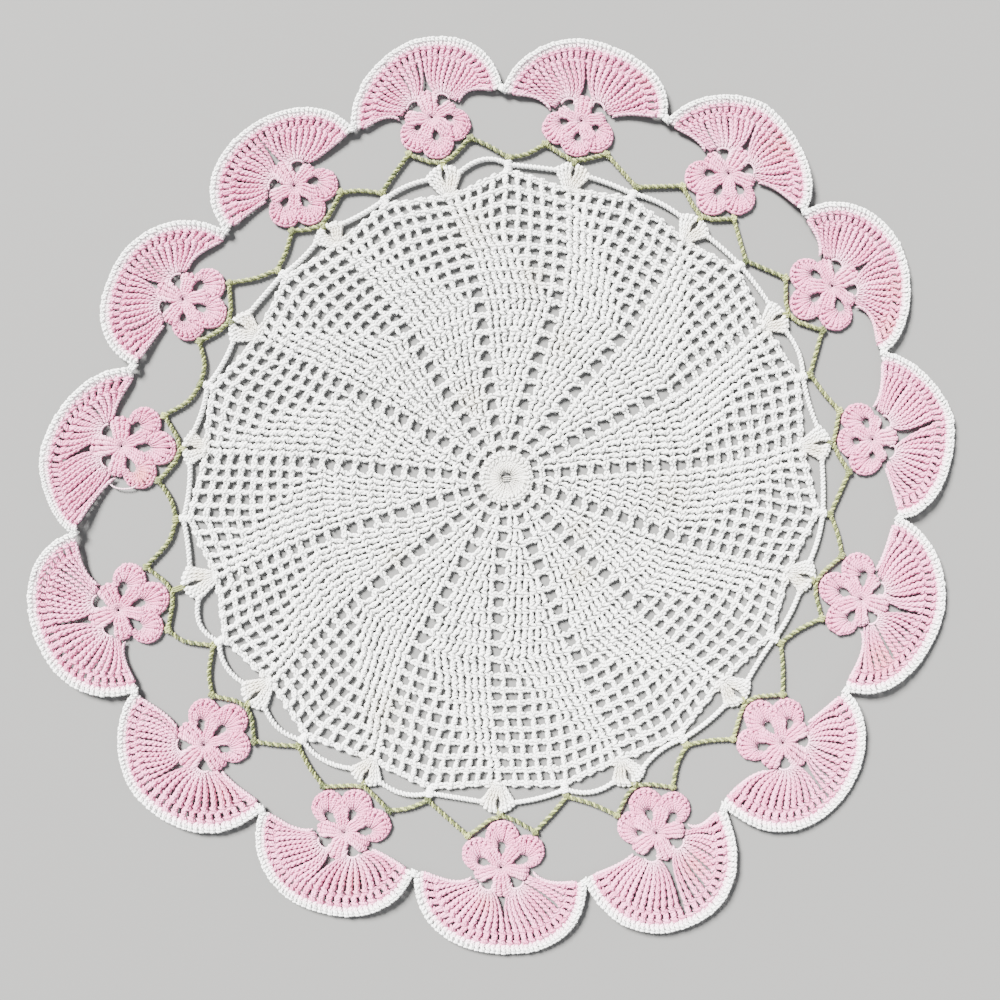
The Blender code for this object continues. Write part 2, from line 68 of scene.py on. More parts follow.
LIFT_FROM = -4              # a pansy lies flat below here and has its whole lift above the next
LIFT_TO = 4
PETAL_RADIUS = 6.9          # small petals
UPPER_EYES = {-1: (-6.7, 6.2), 1: (6.0, 7.0)}  # gaps under a pansy's left and right fan
NOTCHES = {-1: (-13.3, 1.6), 1: (12.3, 4.0)}  # where they meet the small petals
SIDE_NAMES = {-1: "left_", 1: "right_"}
USUAL_APEX = 33.0
EYE_TILT = 28               # the upper eyes' outer ends lie lower
PETAL_EYE = (1.25, 3.0)     # a side petal's gap, from its centre: towards the middle and out
BOTTOM_EYE_SHARE = 0.46     # the bottom petal's gap, as a share of the way to its tip

# ---- yarn ----
STRAND = 0.59               # radius of one strand of the thread
CORNER = 1.12               # a strand is four-cornered, and its corners stand out this much
SIDES = 4                   # so its walls and its ends are four-cornered faces alike
TAPER = 0.4                 # a strand's ends, where it goes under others, are this thin
STITCH_WIDTH = 2.6          # a post this wide has strands of full size
GIRTH_POWER = 0.7           # by which strands grow with the room that they have
GIRTH_LIMITS = (0.5, 1.12)
UNEVEN_GIRTH = 0.04         # spread of the strands' girths
UNEVEN_HEIGHT = 0.6         # stitches stand out of place by this share as much up and down
TWIST_STEPS = 6             # points for each turn of two strands round each other
PLIES = 2                   # plies that show round a strand
PLY_PITCH = 1.1             # mm of strand for one turn of a ply
PLY_START = 10              # a strand's plies start up to this many mm before it

# ---- the white round's rows ----
DISC_STITCHES = 30
DISC_START = 0.2            # its stitches start this far outside the ring's eye
FIRST_ROW_BULGE = 0.5       # the first row's yarn reaches this far past its solid
WEDGE_STITCH = 2.75         # spacing of the close stitches past the solid rows
FIRST_HOLE_LOSS = 1.2       # the first mesh hole of each row is this much narrower than the others
POST_WIDTH = 2.2            # width of a single post's foot in the open mesh
POST_LEAN = 0.75            # its top is this much wider, on the side of the next hole
STITCH_TILT = 0.05          # spread of the stitches' leans
MESH_WOBBLE = 0.45          # single posts stand up to this much out of place
GAP_WOBBLE = 0.35           # and the sides of the ray gaps this much
GAP_TOP = (1.1, 1.5)        # half widths of a ray gap at its outer side: before and after the ray
GAP_FOOT = (2.5, 2.0)       # and at its inner side
GAP_SHARE = 0.22            # but half a gap takes no more than this share of its section
FIRST_GAP_TOP = (1.7, 2.0)  # the first row's gaps are wider
FIRST_GAP_ROOM = 0.6        # and keep this share of their width at the inner side
CHAIN_WIDTH = 2.1           # chain bars
CHAIN_PITCH = 1.9
BAR_WIDE_BOW = 0.45         # bars across the rays bow out more than those between single posts
BAR_BOW = 0.1
BAR_BOW_SHARES = (-1, 0.6, 1, 0.6, -1)
BAR_OVERLAP = 0.8           # a bar's ends lie over the posts beside it
BAR_OUT = 0.35              # bars stand out over their row's edge
HUB_THREADS = (-0.95, -0.15, 0.65)  # threads across the starting ring, this far out
HUB_THREAD_REACH = 2.3
HUB_THREAD_BEND = ((-1, 0.5), (0, 0.0), (1, 0.2))  # shares of their reach, and how far in they lie there

# ---- its shells and loops ----
SHELL_POSTS = 4             # in each half of a shell
SHELL_STRETCH = 1.17        # a shell's yarn is this much longer than its solid where there is room
SHELL_OUTER = ((1.7, -1.2), (4.3, 2.9), (6.0, 5.4), (7.0, 7.4))  # a half's outermost and innermost lines:
SHELL_INNER = ((0.1, -0.8), (0.1, 4.6), (1.2, 8.0), (0.3, 11.6))  # across and out from the shell's foot
SHELL_SHOULDER = (4.2, 10.2)
LOOP_START = (5.9, 7.6)     # where a chain loop leaves its shell
LOOP_STRIP = 2.1            # width of a chain loop
LOOP_HEIGHT = 1.1
LOOP_PITCH = 3.4            # mm of loop for one turn of its two strands
LOOP_BOW = 0.4              # loops bow out this much more than their solids
LOOP_POINTS = 9
JOIN_REACH = (-3.0, 1.2)    # the wraps where two loops meet, from the meeting point outwards
JOIN_WIDTH = 3.4
JOIN_PITCH = 2.1
ONE_CELL = 9.0              # a strip with this pitch is a single cell

# ---- the green chain ----
GREEN_PITCH = 3.3           # mm of chain for one turn of its two strands
GREEN_OVER = 0.2            # the yarn is this much wider than its solid
GREEN_HEIGHT = 1.0
GREEN_TONES = (1.0, 0.1)    # one of its strands is cream and the other olive
GREEN_RUN = 8               # points of its path for each pansy: join, bow, five corners, bow
KNOT_CORNERS = (0, 2, 6)    # those of them that are knotted
CHIN_CORNER = 4             # and the one under the bottom petal, tied to the shell
BOTTOM_CORNERS = (-125, -90, -55)  # directions of the corners under a bottom petal, from its centre
KNOT_REACH = 1.2
KNOT_WIDTH = 3.0
KNOT_PITCH = 2.4
TIE_WIDTH = 2.2             # the tie from the chain to the top of a shell
TIE_DROP = 1.6

# ---- pansies ----
FAN_POSTS = 13              # tall stitches in each of a pansy's two fans
FAN_TURNS = {-1: (205, 42), 1: (138, -25)}  # directions of a fan's first and last tall stitch at its eye
EYE_ROOTS = (2.8, 1.8)      # half sizes of the ring round an upper eye that the fan stands on
FAN_RISE = 5.5              # the tall stitches leave that ring straight up to here
FAN_BEND = 0.33             # and bend at this share of their way back from the edge
FAN_STATIONS = 8            # points along each side of their cells
FAN_NOTCH = 11.8            # height of the notch where the two fans part
NOTCH_WIDTH = 1.4
SLIT_MIDDLE = 0.45          # the slit over the notch is narrowest at this share of its height
SLIT_LOSS = 0.4             # the stitches beside a slit are this much rounder than their cells
INMOST_POWER = 5            # how soon the stitches turn from the slit's line to their own
OUTMOST_POWER = 4           # and from the fan's lower side
LOWER_PULL = 0.6            # the outermost stitches' roots move this far towards the notch
LOWER_ARCH = 1.3            # and they arch up this much more than the fan's underside
SECOND_ROW = 4.2            # depth of the second row
FAN_ROW_STITCHES = 14       # stitches in each half of it
EDGING_STITCHES = 25
EDGING_OUT = 0.6            # the edging's cells end this far inside its outline
EDGING_BLUSH = (0.95, 0.3)  # pink that shows through the white posts, at their feet and their tops
PETAL_POSTS = 14
PETAL_ROOT = 1.6            # they start this far from the middle of its eye
PETAL_SHORT = 0.5           # and end this far inside its rim
PETAL_LEAST = 1.5           # but are at least this long
LEAST_CHORD = 0.01          # square of half the least way through a petal
PETAL_SPREAD = 106          # a small petal's stitches turn this far to both sides
SIDE_LIMITS = (-194, 28)    # directions from the centre where the side petals meet the fans
INNER_POSTS = 4
INNER_LENGTHS = (11.6, 11.4, 10.8, 10.8, 11.2)
USUAL_CHIN = 19.0           # in a pansy with this chin
INNER_FIXED = 0.5           # this share of their size is the same in every pansy
INNER_STATIONS = (0.6, 4.6, 0.66)  # mm from the centre, and a share of an inner petal's length
INNER_CLEAR = 11            # degrees between the side of an inner petal's head and the middle of an eye
INNER_ROUND = 1.7           # its outer stitches are this much shorter
INNER_TIP = 0.6             # share of the angle between two eyes that its tip fills
CORD_TURNS = 5.5            # turns of the cords along the fans' lower sides
CORD_SWING = 0.32
CORD_POINTS = 22
CORD_SHORT = 1.0            # they end this far inside the edging
CORD_UP = 0.25              # and lie this far over the fans' lower side
CORD_HEIGHT = 1.0
CORD_RISE = 0.3
EYE_LOOP = (-20, 200, 11)   # first and last direction of the loop over an upper eye, and its points
EYE_LOOP_HEIGHT = 1.15
TIP_TIE = (1.8, -0.4)       # from a tip, inwards and out, to the end of its tie
TIP_TIE_WIDTH = 2.6
TIP_TIE_LIFT = 0.8          # a tie is lifted this share of its tip's lift
PALE_OVER = (0.0, 1.0)      # the fans' thread is palest this far from the upper eyes' middles
PALE_UPPER = (4.2, 0.65)    # how wide and how strong the dye is missing there
PALE_LOWER = (3.0, 0.2)     # and round the lower ones and the flower's centre

# ---- posts: turns and points of their two strands, and how these lie in a cell ----
DISC_POST = dict(turns=0.5, points=6)
CLOSE_POST = dict(turns=1.0, points=5, start=-0.04, end=0.86, swing=0.2, centre=0.9, rise=0.35)
SINGLE_POST = dict(turns=1.0, points=6, start=-0.06, end=0.97)
SHELL_POST = dict(turns=2.6, points=14, swing=0.25, rise=0.5)
FAN_POST = dict(turns=4.1, points=20, swing=0.27, rise=0.5, narrowing=0.3)
SECOND_POST = dict(turns=0.3, points=5, swing=0.2, narrowing=0.65)
PETAL_POST = dict(turns=0.6, points=5)
INNER_POST = dict(turns=1.6, points=7, centre=1.15, swing=0.24)
EDGING_POST = dict(turns=0.3, points=5, end=0.8, swing=0.14, narrowing=-0.5)

# ---- rims: how far the V links over a row reach inside and outside its edge ----
ROW_RIM = (1.4, 0.6)
DISC_RIM = (1.9, 0.0)
FAN_RIM = (1.6, 0.4)
SECOND_RIM = (1.0, 0.6)
PETAL_RIM = (1.5, 0.2)
INNER_RIM = (1.4, 0.0)
EDGING_RIM = (1.4, 0.35)
PANSY_TOP = 1.4             # height of a pansy's V links
PETAL_TOP = 1.35

# ---- cotton colours, linear ----
WHITE = (0.76, 0.765, 0.75)
WHITE_SHADE = (0.65, 0.655, 0.64)
CREAM = (0.38, 0.31, 0.18)
PINK = (0.62, 0.22, 0.37)
PINK_SHADE = (0.49, 0.125, 0.245)
PALE_PINK = (0.78, 0.50, 0.60)
SALMON = (0.48, 0.14, 0.12)
LEAF_CREAM = (0.24, 0.26, 0.08)
OLIVE = (0.03, 0.042, 0.006)

# ---- how cotton looks: bump distances are in metres ----
COTTON_LOOKS = {"Roughness": 0.7, "Specular IOR Level": 0.3, "Sheen Weight": 0.15, "Sheen Roughness": 0.5}
CLOUDS = (38.0, 3.0)        # scale and detail of the dye's clouds, and of the fibres
FIBRES = (2600.0, 2.0)
TONE_SHARE = 0.45           # how much each stitch's own shade counts beside the clouds
DYE_ENDS = (0.25, 0.7)      # darkest below the first and lightest past the second
# painted shade in the ply grooves: over this share of the ply wave the colour darkens, down to the share
# below
PAINTED_GROOVE_WIDTH = 0.3
PAINTED_GROOVE_SHADE = 0.62
PLY_BUMP = 0.00045
FIBRE_BUMP = 0.0002
FIBRE_STRENGTH = 0.25
NODE_STEP = 200             # between the shader nodes in the editor

# ---- room ----
FLOOR_LOOKS = {"Base Color": (0.098, 0.098, 0.096, 1), "Roughness": 0.9}
FLOOR_SIZE = 20.0            # metres
FLOOR_DROP = 0.0004          # strands that bow down still lie on it
WINDOW_SIDE = (-0.75, 0.85, 1.0)
WINDOW_COLOUR = (1.0, 0.985, 0.96)
WINDOW_STRENGTH = 42.0
WINDOW_SOFTNESS = 20         # degrees across
FILL_SIDE = (0.9, -0.5, 0.8)
FILL_COLOUR = (0.95, 0.97, 1.0)
FILL_STRENGTH = 1.6
FILL_SOFTNESS = 60
SKY_COLOUR = (0.94, 0.96, 1.0)
SKY_STRENGTH = 0.85
CAMERA_PLACE = (0.0037, -0.00185, 0.447)
CAMERA_LENS = 39.0
CAMERA_SENSOR = 36.0

# ---- one row for each section of the white round ----
# lean is how far the posts of the section's solid rows swing aside on their way out
SECTION_COLUMNS = ("ray_start", "ray_middle", "shell", "join", "join_radius", "inner_stretch",
                   "outer_stretch", "bow_before", "bow_after", "green_bow_before", "green_bow_after",
                   "lean")
SECTION_ROWS = (
    (12.7, 16.0, 12.3, 24.0, 128.0, 0.994, 0.985, 0.0, 1.0, 0.0, 0.0, 0.12),
    (37.5, 39.3, 36.7, 47.7, 130.0, 1.017, 0.992, 0.0, 0.0, 0.0, 0.0, 0.10),
    (61.0, 61.9, 59.4, 71.1, 129.0, 1.017, 0.999, 1.5, -1.2, 0.0, -0.5, 0.05),
    (84.0, 85.7, 83.7, 96.3, 131.0, 1.000, 0.993, 0.0, 0.5, 0.0, 0.7, 0.10),
    (108.5, 109.2, 108.2, 121.0, 128.6, 0.983, 0.993, 0.5, -0.8, -1.0, 0.5, 0.06),
    (134.6, 134.3, 133.0, 146.0, 129.6, 0.966, 0.991, 0.5, -2.2, -0.8, -1.6, 0.02),
    (160.3, 158.6, 157.7, 169.3, 130.4, 1.000, 1.014, 2.6, 0.5, -1.0, 0.3, 0.12),
    (184.6, 183.6, 181.5, 193.7, 133.6, 0.994, 1.021, -0.4, 2.4, 0.0, 1.2, 0.08),
    (207.6, 207.9, 205.3, 217.9, 136.7, 1.034, 1.043, 2.6, 2.6, 0.8, 0.5, 0.03),
    (229.7, 230.7, 229.2, 240.3, 136.1, 1.045, 1.043, 2.6, 4.0, 1.8, 3.0, 0.10),
    (251.4, 252.1, 251.4, 262.8, 134.1, 1.023, 1.025, -0.9, -1.4, -3.0, -1.5, 0.10),
    (273.4, 274.5, 275.4, 287.1, 128.8, 1.011, 1.010, -1.4, -1.4, -2.5, -2.0, 0.10),
    (299.5, 299.7, 299.7, 312.3, 124.5, 0.949, 0.958, -0.3, -1.2, -1.3, -0.8, 0.03),
    (324.0, 325.9, 324.0, 336.3, 125.0, 0.949, 0.963, -1.0, 1.0, 1.0, 0.3, 0.12),
    (348.2, 351.4, 348.3, 360.3, 129.0, 0.983, 0.961, 3.6, -0.3, 0.5, -1.5, 0.03),
)

# ---- one row for each pansy: places are across (clockwise) and out from its flower's centre ----
# the knots, where the green chain is tied to the side petals, are directions from the petals' centres, the
# hollows are how far the fan's lower sides arch up between tip and notch, and the slit parts its two fans
PANSY_COLUMNS = ("angle", "radius", "turn", "chin", "left_tip", "right_tip", "apex",
                 "left_fullness", "right_fullness", "crown_lift", "next_tip_lift",
                 "left_petal", "left_knot", "right_petal", "right_knot", "left_hollow", "right_hollow",
                 "slit")
PANSY_ROWS = (
    (348.3, 151.5, 0, 17.3, (-33.4, 2.4), (31.1, 7.1), (0.8, 32.4), 1.7, 2.2, 0.8, 1.0,
     (-7.5, -5.8), -125, (8.3, -4.6), -50, 2.3, 3.0, 0.7),
    (11.8, 150.1, 0, 14.9, (-34.3, 6.1), (34.3, 8.8), (-3.3, 32.8), 1.8, 2.1, 1.0, 1.5,
     (-8.3, -4.6), -119, (7.5, -4.6), -49, 2.5, 1.2, 0.7),
    (36.1, 155.0, 4, 19.0, (-33.5, 3.3), (34.7, 6.6), (-3.2, 31.4), 1.7, 1.7, 1.5, 2.2,
     (-8.1, -7.7), -120, (9.3, -5.6), -68, 1.5, 1.5, 0.7),
    (59.5, 155.5, 3, 19.4, (-32.6, 5.5), (34.7, 4.9), (-2.0, 32.6), 2.0, 1.7, 1.0, 1.2,
     (-9.3, -6.7), -113, (10.6, -4.5), -70, 1.8, 3.2, 0.5),
    (84.0, 151.4, -1, 14.4, (-35.5, 8.3), (33.9, 8.3), (-4.9, 33.5), 1.5, 1.9, 1.4, 1.8,
     (-8.7, -4.8), -121, (7.5, -3.6), -57, 1.8, 0.3, 1.1),
    (108.9, 154.3, -4, 18.2, (-37.2, 3.4), (37.6, 6.5), (-2.3, 33.6), 1.8, 2.1, 1.2, 2.0,
     (-11.2, -5.2), -112, (9.9, -4.6), -72, 0.8, 2.5, 0.9),
    (133.8, 157.5, -6, 20.7, (-33.9, 4.4), (35.9, 0.2), (2.7, 33.6), 1.9, 2.2, 0.8, 1.0,
     (-9.3, -6.7), -126, (8.7, -8.3), -60, 0.2, -2.0, 0.9),
    (157.1, 158.7, -2, 19.4, (-30.2, 2.8), (35.1, 6.7), (2.0, 39.9), 2.2, 2.1, 1.6, 1.0,
     (-10.3, -6.7), -111, (7.5, -5.8), -57, 2.2, 1.0, 1.9),
    (180.8, 160.3, -1, 19.4, (-35.5, 6.5), (35.9, 3.4), (-2.6, 35.2), 2.2, 2.2, 0.8, 1.5,
     (-10.8, -6.7), -110, (9.3, -5.3), -58, 2.5, 2.5, 0.5),
    (204.6, 160.4, 1, 18.6, (-33.4, 3.8), (35.1, 6.9), (5.9, 34.4), 2.2, 1.8, 1.0, 1.0,
     (-10.0, -7.6), -110, (10.2, -6.7), -52, -0.4, 2.0, 0.4),
    (228.6, 165.9, 0, 21.5, (-36.3, 0.2), (35.6, 7.7), (3.8, 34.9), 2.2, 1.6, 0.8, 1.4,
     (-8.5, -8.6), -118, (8.8, -8.1), -62, 0.8, -1.2, 0.9),
    (251.2, 168.6, 0, 21.5, (-34.3, 4.2), (36.4, 8.2), (2.8, 35.7), 2.2, 2.0, 1.2, 2.4,
     (-10.3, -8.6), -116, (10.3, -8.1), -70, 2.0, 2.5, 0.7),
    (274.7, 158.9, 2, 22.3, (-37.6, 15.7), (32.6, -0.8), (-9.1, 32.5), 1.5, 1.8, 1.6, 1.6,
     (-10.0, -8.1), -110, (10.1, -8.6), -62, 1.5, 1.0, 0.7),
    (298.9, 152.0, 4, 19.0, (-34.2, 4.8), (33.4, -1.1), (-1.0, 31.1), 2.2, 2.0, 0.8, 1.0,
     (-7.8, -6.6), -119, (10.2, -6.1), -55, 0.3, 2.0, 0.5),
    (324.0, 148.5, -3, 17.8, (-34.3, 2.7), (33.4, 5.6), (-0.2, 30.2), 2.2, 1.9, 0.9, 1.0,
     (-8.9, -6.1), -109, (9.3, -6.1), -57, 0.5, -0.3, 0.8),
)

# ---- stains: where, how wide and how strong ----
WHITE_STAIN_COLUMNS = ("angle", "radius", "spread", "amount")
WHITE_STAIN_ROWS = (
    (8.0, 84.0, 6.0, 0.35),
    (22.0, 60.0, 6.0, 0.25),
    (13.6, 129.0, 4.0, 0.55),
    (143.0, 50.0, 5.0, 0.45),
    (125.0, 37.0, 5.0, 0.30),
    (335.0, 35.0, 6.0, 0.35),
    (233.5, 56.0, 5.0, 0.30),
    (207.0, 108.0, 9.0, 0.30),
    (95.0, 68.0, 8.0, 0.25),
    (352.0, 104.0, 9.0, 0.25),
    (0.0, 0.0, 10.0, 0.35),
)
SHELL_CREAM_PLACE = (2.0, 5.0)
SHELL_CREAM = (5.0, 0.55)   # spread and amount
PINK_STAIN_COLUMNS = ("pansy", "across", "out", "spread", "amount")
PINK_STAIN_ROWS = (
    (2, 24.0, 21.0, 5.0, 0.25),
    (3, 11.0, 22.0, 6.0, 0.45),
    (4, 15.0, 22.0, 7.0, 0.40),
    (4, 27.0, 11.0, 6.0, 0.55),
    (6, 20.0, 15.0, 6.0, 0.50),
    (8, -9.0, 18.0, 5.0, 0.50),
    (9, 6.0, 15.0, 4.0, 0.50),
    (10, -12.0, 17.0, 5.0, 0.40),
    (11, -20.0, 8.0, 6.0, 0.30),
    (13, -11.0, -9.0, 4.0, 0.80),
)
LOOSE_THREAD_PANSY = 13
LOOSE_THREAD = ((-16.0, 3.4), (-17.2, 1.0), (-17.4, -2.5), (-16.6, -6.0), (-15.0, -7.6))


def table(columns, rows):
    """Rows with their columns' names."""
    return [dict(zip(columns, row)) for row in rows]


SECTIONS = table(SECTION_COLUMNS, SECTION_ROWS)
PANSIES = table(PANSY_COLUMNS, PANSY_ROWS)
COUNT = len(SECTIONS)


# ---- places on the doily, as in its frame ----
def polar(angle, radius):
    """Points at clockwise angles and radii from the hub."""
    turn = np.radians(angle)
    return np.stack([HUB[0] + radius * np.sin(turn), HUB[1] + radius * np.cos(turn)], axis=-1)


def smooth(value):
    """Ease from 0 to 1."""
    value = np.clip(value, 0.0, 1.0)
    return value * value * (3 - 2 * value)


def column(name):
    """One column of the section table."""
    return [section[name] for section in SECTIONS]


def last_key(keys, angle):
    """Index of the key angle before an angle, how far it is past it, and how far the next key is."""
    for index, key in enumerate(keys):
        span = (keys[(index + 1) % COUNT] - key) % 360
        past = (angle - key) % 360
        if past <= span:
            break
    return index, past, span


def around(keys, values, angle):
    """Ease between the sections' values at the key angles, round the circle."""
    index, past, span = last_key(keys, angle)
    share = smooth(past / span)
    return values[index] * (1 - share) + values[(index + 1) % COUNT] * share


def plain_row_radius(row):
    """Outer radius of a row before any stretch."""
    if row == 1:
        return FIRST_ROW_RADIUS + FIRST_ROW_BULGE
    if row <= SOLID_ROWS:
        return FIRST_ROW_RADIUS + TALL_ROW * (row - 1)
    if row == SOLID_ROWS + 1:
        return ROW_11_RADIUS
    return ROW_12_RADIUS + LOW_ROW * (row - SOLID_ROWS - 2)


def stretch(angle, row):
    """How far this direction is pulled out, from the inner to the outer column."""
    share = min(max((row - SOLID_ROWS) / (LAST_ROW - SOLID_ROWS), 0), 1)
    inner = around(column("ray_middle"), column("inner_stretch"), angle)
    outer = around(column("shell"), column("outer_stretch"), angle)
    return inner * (1 - share) + outer * share


def peak_rise(angle):
    """Extra radius of the last row: none at a shell, most at a join."""
    index, past, span = last_key(column("shell"), angle)
    section = SECTIONS[index]
    middle = (section["join"] - section["shell"]) % 360
    nearness = past / middle if past < middle else (span - past) / (span - middle)
    flat = plain_row_radius(LAST_ROW) * stretch(section["join"], LAST_ROW)
    return (section["join_radius"] - EDGE_PEAK_DROP - flat) * nearness ** PEAK_SHARPNESS


def row_radius(angle, row):
    """Outer radius of a row in a direction."""
    if row == 0:
        return DISC_RADIUS
    radius = plain_row_radius(row) * stretch(angle, row)
    if row > PEAK_FIRST_ROW:
        share = (row - PEAK_FIRST_ROW) / (LAST_ROW - PEAK_FIRST_ROW)
        radius += peak_rise(angle) * share ** PEAK_GROWTH
    return radius


def row_radii(angles, row):
    """Outer radii of a row in these directions."""
    return np.array([row_radius(angle, row) for angle in angles])


def arc(length, radius):
    """Degrees round the hub that a length takes up at a radius."""
    return np.degrees(length / radius)


def ray_angle(section, row):
    """Direction of a section's ray gap in a row: it swings out to row 9, then drifts back to its shell."""
    if row <= SOLID_ROWS:
        share = min(1, (row - 1) / (SOLID_ROWS - 2))
        return section["ray_start"] + (section["ray_middle"] - section["ray_start"]) * share
    end = section["shell"] - SHELL_BEHIND_RAY
    share = (row - SOLID_ROWS) / (LAST_ROW - SOLID_ROWS)
    return section["ray_middle"] + (end - section["ray_middle"]) * share


def heading(direction):
    """Unit vector of a direction, anticlockwise from across."""
    turn = np.radians(direction)
    return np.stack([np.cos(turn), np.sin(turn)], axis=-1)


def small_petals(pansy):
    """Centres of the left, bottom and right small petals."""
    bottom = heading(pansy["turn"] - 90) * (pansy["chin"] - PETAL_RADIUS)
    return np.array([pansy["left_petal"], bottom, pansy["right_petal"]], float)


def upper_eye(pansy, side):
    """Centre of the gap under a fan; side is -1 or 1."""
    across, out = UPPER_EYES[side]
    return np.array([across, out * pansy["apex"][1] / USUAL_APEX])


def lower_eyes(pansy):
    """Centres of the gaps in the left, bottom and right small petals."""
    left, _, right = small_petals(pansy)
    across, out = PETAL_EYE
    bottom_eye = heading(pansy["turn"] - 90) * pansy["chin"] * BOTTOM_EYE_SHARE
    return np.array([left + (across, out), bottom_eye, right + (-across, out)])


def of_side(pansy, side, name):
    """What the pansy table says for its left or right side; side is -1 or 1."""
    return pansy[SIDE_NAMES[side] + name]


def axes_of(pansy):
    """A pansy's flower centre and its two directions, across and out."""
    turn = math.radians(pansy["angle"])
    centre = polar(pansy["angle"], pansy["radius"])
    return centre, np.array([math.cos(turn), -math.sin(turn)]), np.array([math.sin(turn), math.cos(turn)])


def on_doily(pansy, points):
    """From a pansy's own across and out to the doily's plane."""
    points = np.asarray(points, float)
    centre, across, out = axes_of(pansy)
    return centre + points[..., :1] * across + points[..., 1:] * out


def on_pansy(pansy, points):
    """From the doily's plane to a pansy's own across and out."""
    centre, across, out = axes_of(pansy)
    apart = points - centre
    return np.stack([apart @ across, apart @ out], axis=-1)


def pansy_lift(index, points):
    """Height of a pansy's fan off the table at points of the pansy's own plane."""
    pansy = PANSIES[index]
    across, out = points[..., 0], points[..., 1]
    left = across < 0
    tip = np.where(left, pansy["left_tip"][0], pansy["right_tip"][0])
    tip_lift = np.where(left, PANSIES[index - 1]["next_tip_lift"], pansy["next_tip_lift"])
    raised = tip_lift * smooth(across / tip) ** 2 + pansy["crown_lift"] * smooth(out / pansy["apex"][1])
    return smooth((out - LIFT_FROM) / (LIFT_TO - LIFT_FROM)) * raised


# ---- lines ----
def unit(vectors):
    """Vectors with their lengths brought to 1."""
    return vectors / np.maximum(np.linalg.norm(vectors, axis=-1, keepdims=True), TINY)


def spaced(line, count):
    """count + 1 points evenly spaced along a line."""
    line = np.asarray(line, float)
    along = np.concatenate([[0], np.cumsum(np.linalg.norm(np.diff(line, axis=0), axis=1))])
    at = np.linspace(0, along[-1], count + 1)
    return np.stack([np.interp(at, along, line[:, axis]) for axis in range(line.shape[1])], axis=1)


def length_of(line):
    """Length of a line."""
    return float(np.linalg.norm(np.diff(line, axis=0), axis=1).sum())


def rounded(points, steps=6):
    """Smooth line through points."""
    points = np.asarray(points, float)
    points = np.concatenate([2 * points[:1] - points[1:2], points, 2 * points[-1:] - points[-2:-1]])
    line = []
    for a, b, c, d in zip(points, points[1:], points[2:], points[3:]):
        for share in np.arange(steps) / steps:
            line.append(0.5 * (2 * b + (c - a) * share + (2 * a - 5 * b + 4 * c - d) * share ** 2
                               + (3 * b - a - 3 * c + d) * share ** 3))
    line.append(points[-2])
    return np.array(line)


def cubic(a, b, c, d, count):
    """count points on a Bezier curve with four control points."""
    share = np.linspace(0, 1, count)[:, None]
    rest = 1 - share
    return a * rest ** 3 + b * 3 * rest ** 2 * share + c * 3 * rest * share ** 2 + d * share ** 3


# ---- cells: (cells, 2 sides, stations, 2) corners that stitches are laid in ----
def pairs(edges):
    """Every edge of a row with the next one."""
    return np.stack([edges[:-1], edges[1:]], axis=1)


def between(lines):
    """Cells between neighbouring lines: (cells + 1, stations, 2)."""
    return pairs(np.asarray(lines, float))


def ladder(inner, outer):
    """Cells between the points of an inner and an outer line."""
    return between(np.stack([inner, outer], axis=1))


def rim(cells, inside=ROW_RIM[0], outside=ROW_RIM[1]):
    """Shallow cells over the top edges of cells, where the V links lie."""
    top = cells[:, :, -1]
    way = unit((top - cells[:, :, -2]).mean(axis=1, keepdims=True))
    return np.stack([top - way * inside, top + way * outside], axis=2)


def sideways(line):
    """Unit vectors to the left of a line at each of its points."""
    way = unit(np.gradient(line, axis=0))
    return np.stack([-way[:, 1], way[:, 0]], axis=1)


def strip(line, width, pitch):
    """Cells along a line for a chain: its links run along the line."""
    line = spaced(line, max(1, round(length_of(line) / pitch)))
    aside = sideways(line) * width / 2
    left, right = line + aside, line - aside
    return np.stack([pairs(left), pairs(right)], axis=1)


# ---- stitch shapes: (strands, points, 3) of across and along shares of the cell, and height in mm ----
def rope(turns, points, start=0.0, end=1.0, swing=0.22, centre=1.0, rise=0.3, narrowing=0.0):
    """A post: two strands that lie side by side in the middle and turn about each other.

    narrowing is the share of its swing that it loses on its way up, which opens slits beside it.
    """
    along = np.linspace(start, end, points)
    strands = []
    for side in (0.0, 0.5):
        turn = 2 * np.pi * (turns * ((along - start) / (end - start) - 0.5) + side)
        aside = swing * (1 - narrowing * along) * np.cos(turn)
        strands.append(np.stack([0.5 + aside, along, centre + rise * np.sin(turn)], axis=1))
    return np.array(strands)


def cross_wrap():
    """The thread that crosses a tall post between its legs and its top."""
    return np.array([[(0.02, 0.54, 0.70), (0.35, 0.618, 1.45), (0.70, 0.722, 1.45), (1.0, 0.80, 0.80)]])


def row_top(height=1.55):
    """The open V over the top of a stitch, in a rim cell."""
    front = [(0.0, 0.75, height - 0.75), (0.30, 0.50, height - 0.05), (0.70, 0.20, height + 0.05),
             (1.0, -0.05, height - 0.55)]
    back = [(-0.05, 0.55, height - 0.85), (0.30, 0.85, height - 0.40), (0.70, 1.0, height - 0.45),
            (1.05, 0.70, height - 0.85)]
    return np.array([front, back])


def edge_top(height=1.6):
    """The V over a stitch of an outer rim: its outer leg runs on into the next one as a cord."""
    inner, _ = row_top(height)
    cord = [(-0.2, 0.72, height - 0.65), (0.2, 0.9, height - 0.35), (0.8, 0.95, height - 0.4),
            (1.2, 0.76, height - 0.7)]
    return np.array([inner, cord])


def link():
    """One link of a chain: two legs that open and close again."""
    left = [(0.50, -0.20, 0.45), (0.20, 0.25, 0.90), (0.20, 0.70, 1.15), (0.46, 1.15, 1.20)]
    right = [(1 - across, along, rise) for across, along, rise in left]
    return np.array([left, right])


def wraps(height=1.5):
    """Three strands wrapped across a joint."""
    return np.array([[(0.0, along - 0.1, 0.6), (0.22, along, height - 0.1), (0.78, along + 0.1, height),
                      (1.0, along + 0.2, 0.6)] for along in (0.15, 0.5, 0.85)])


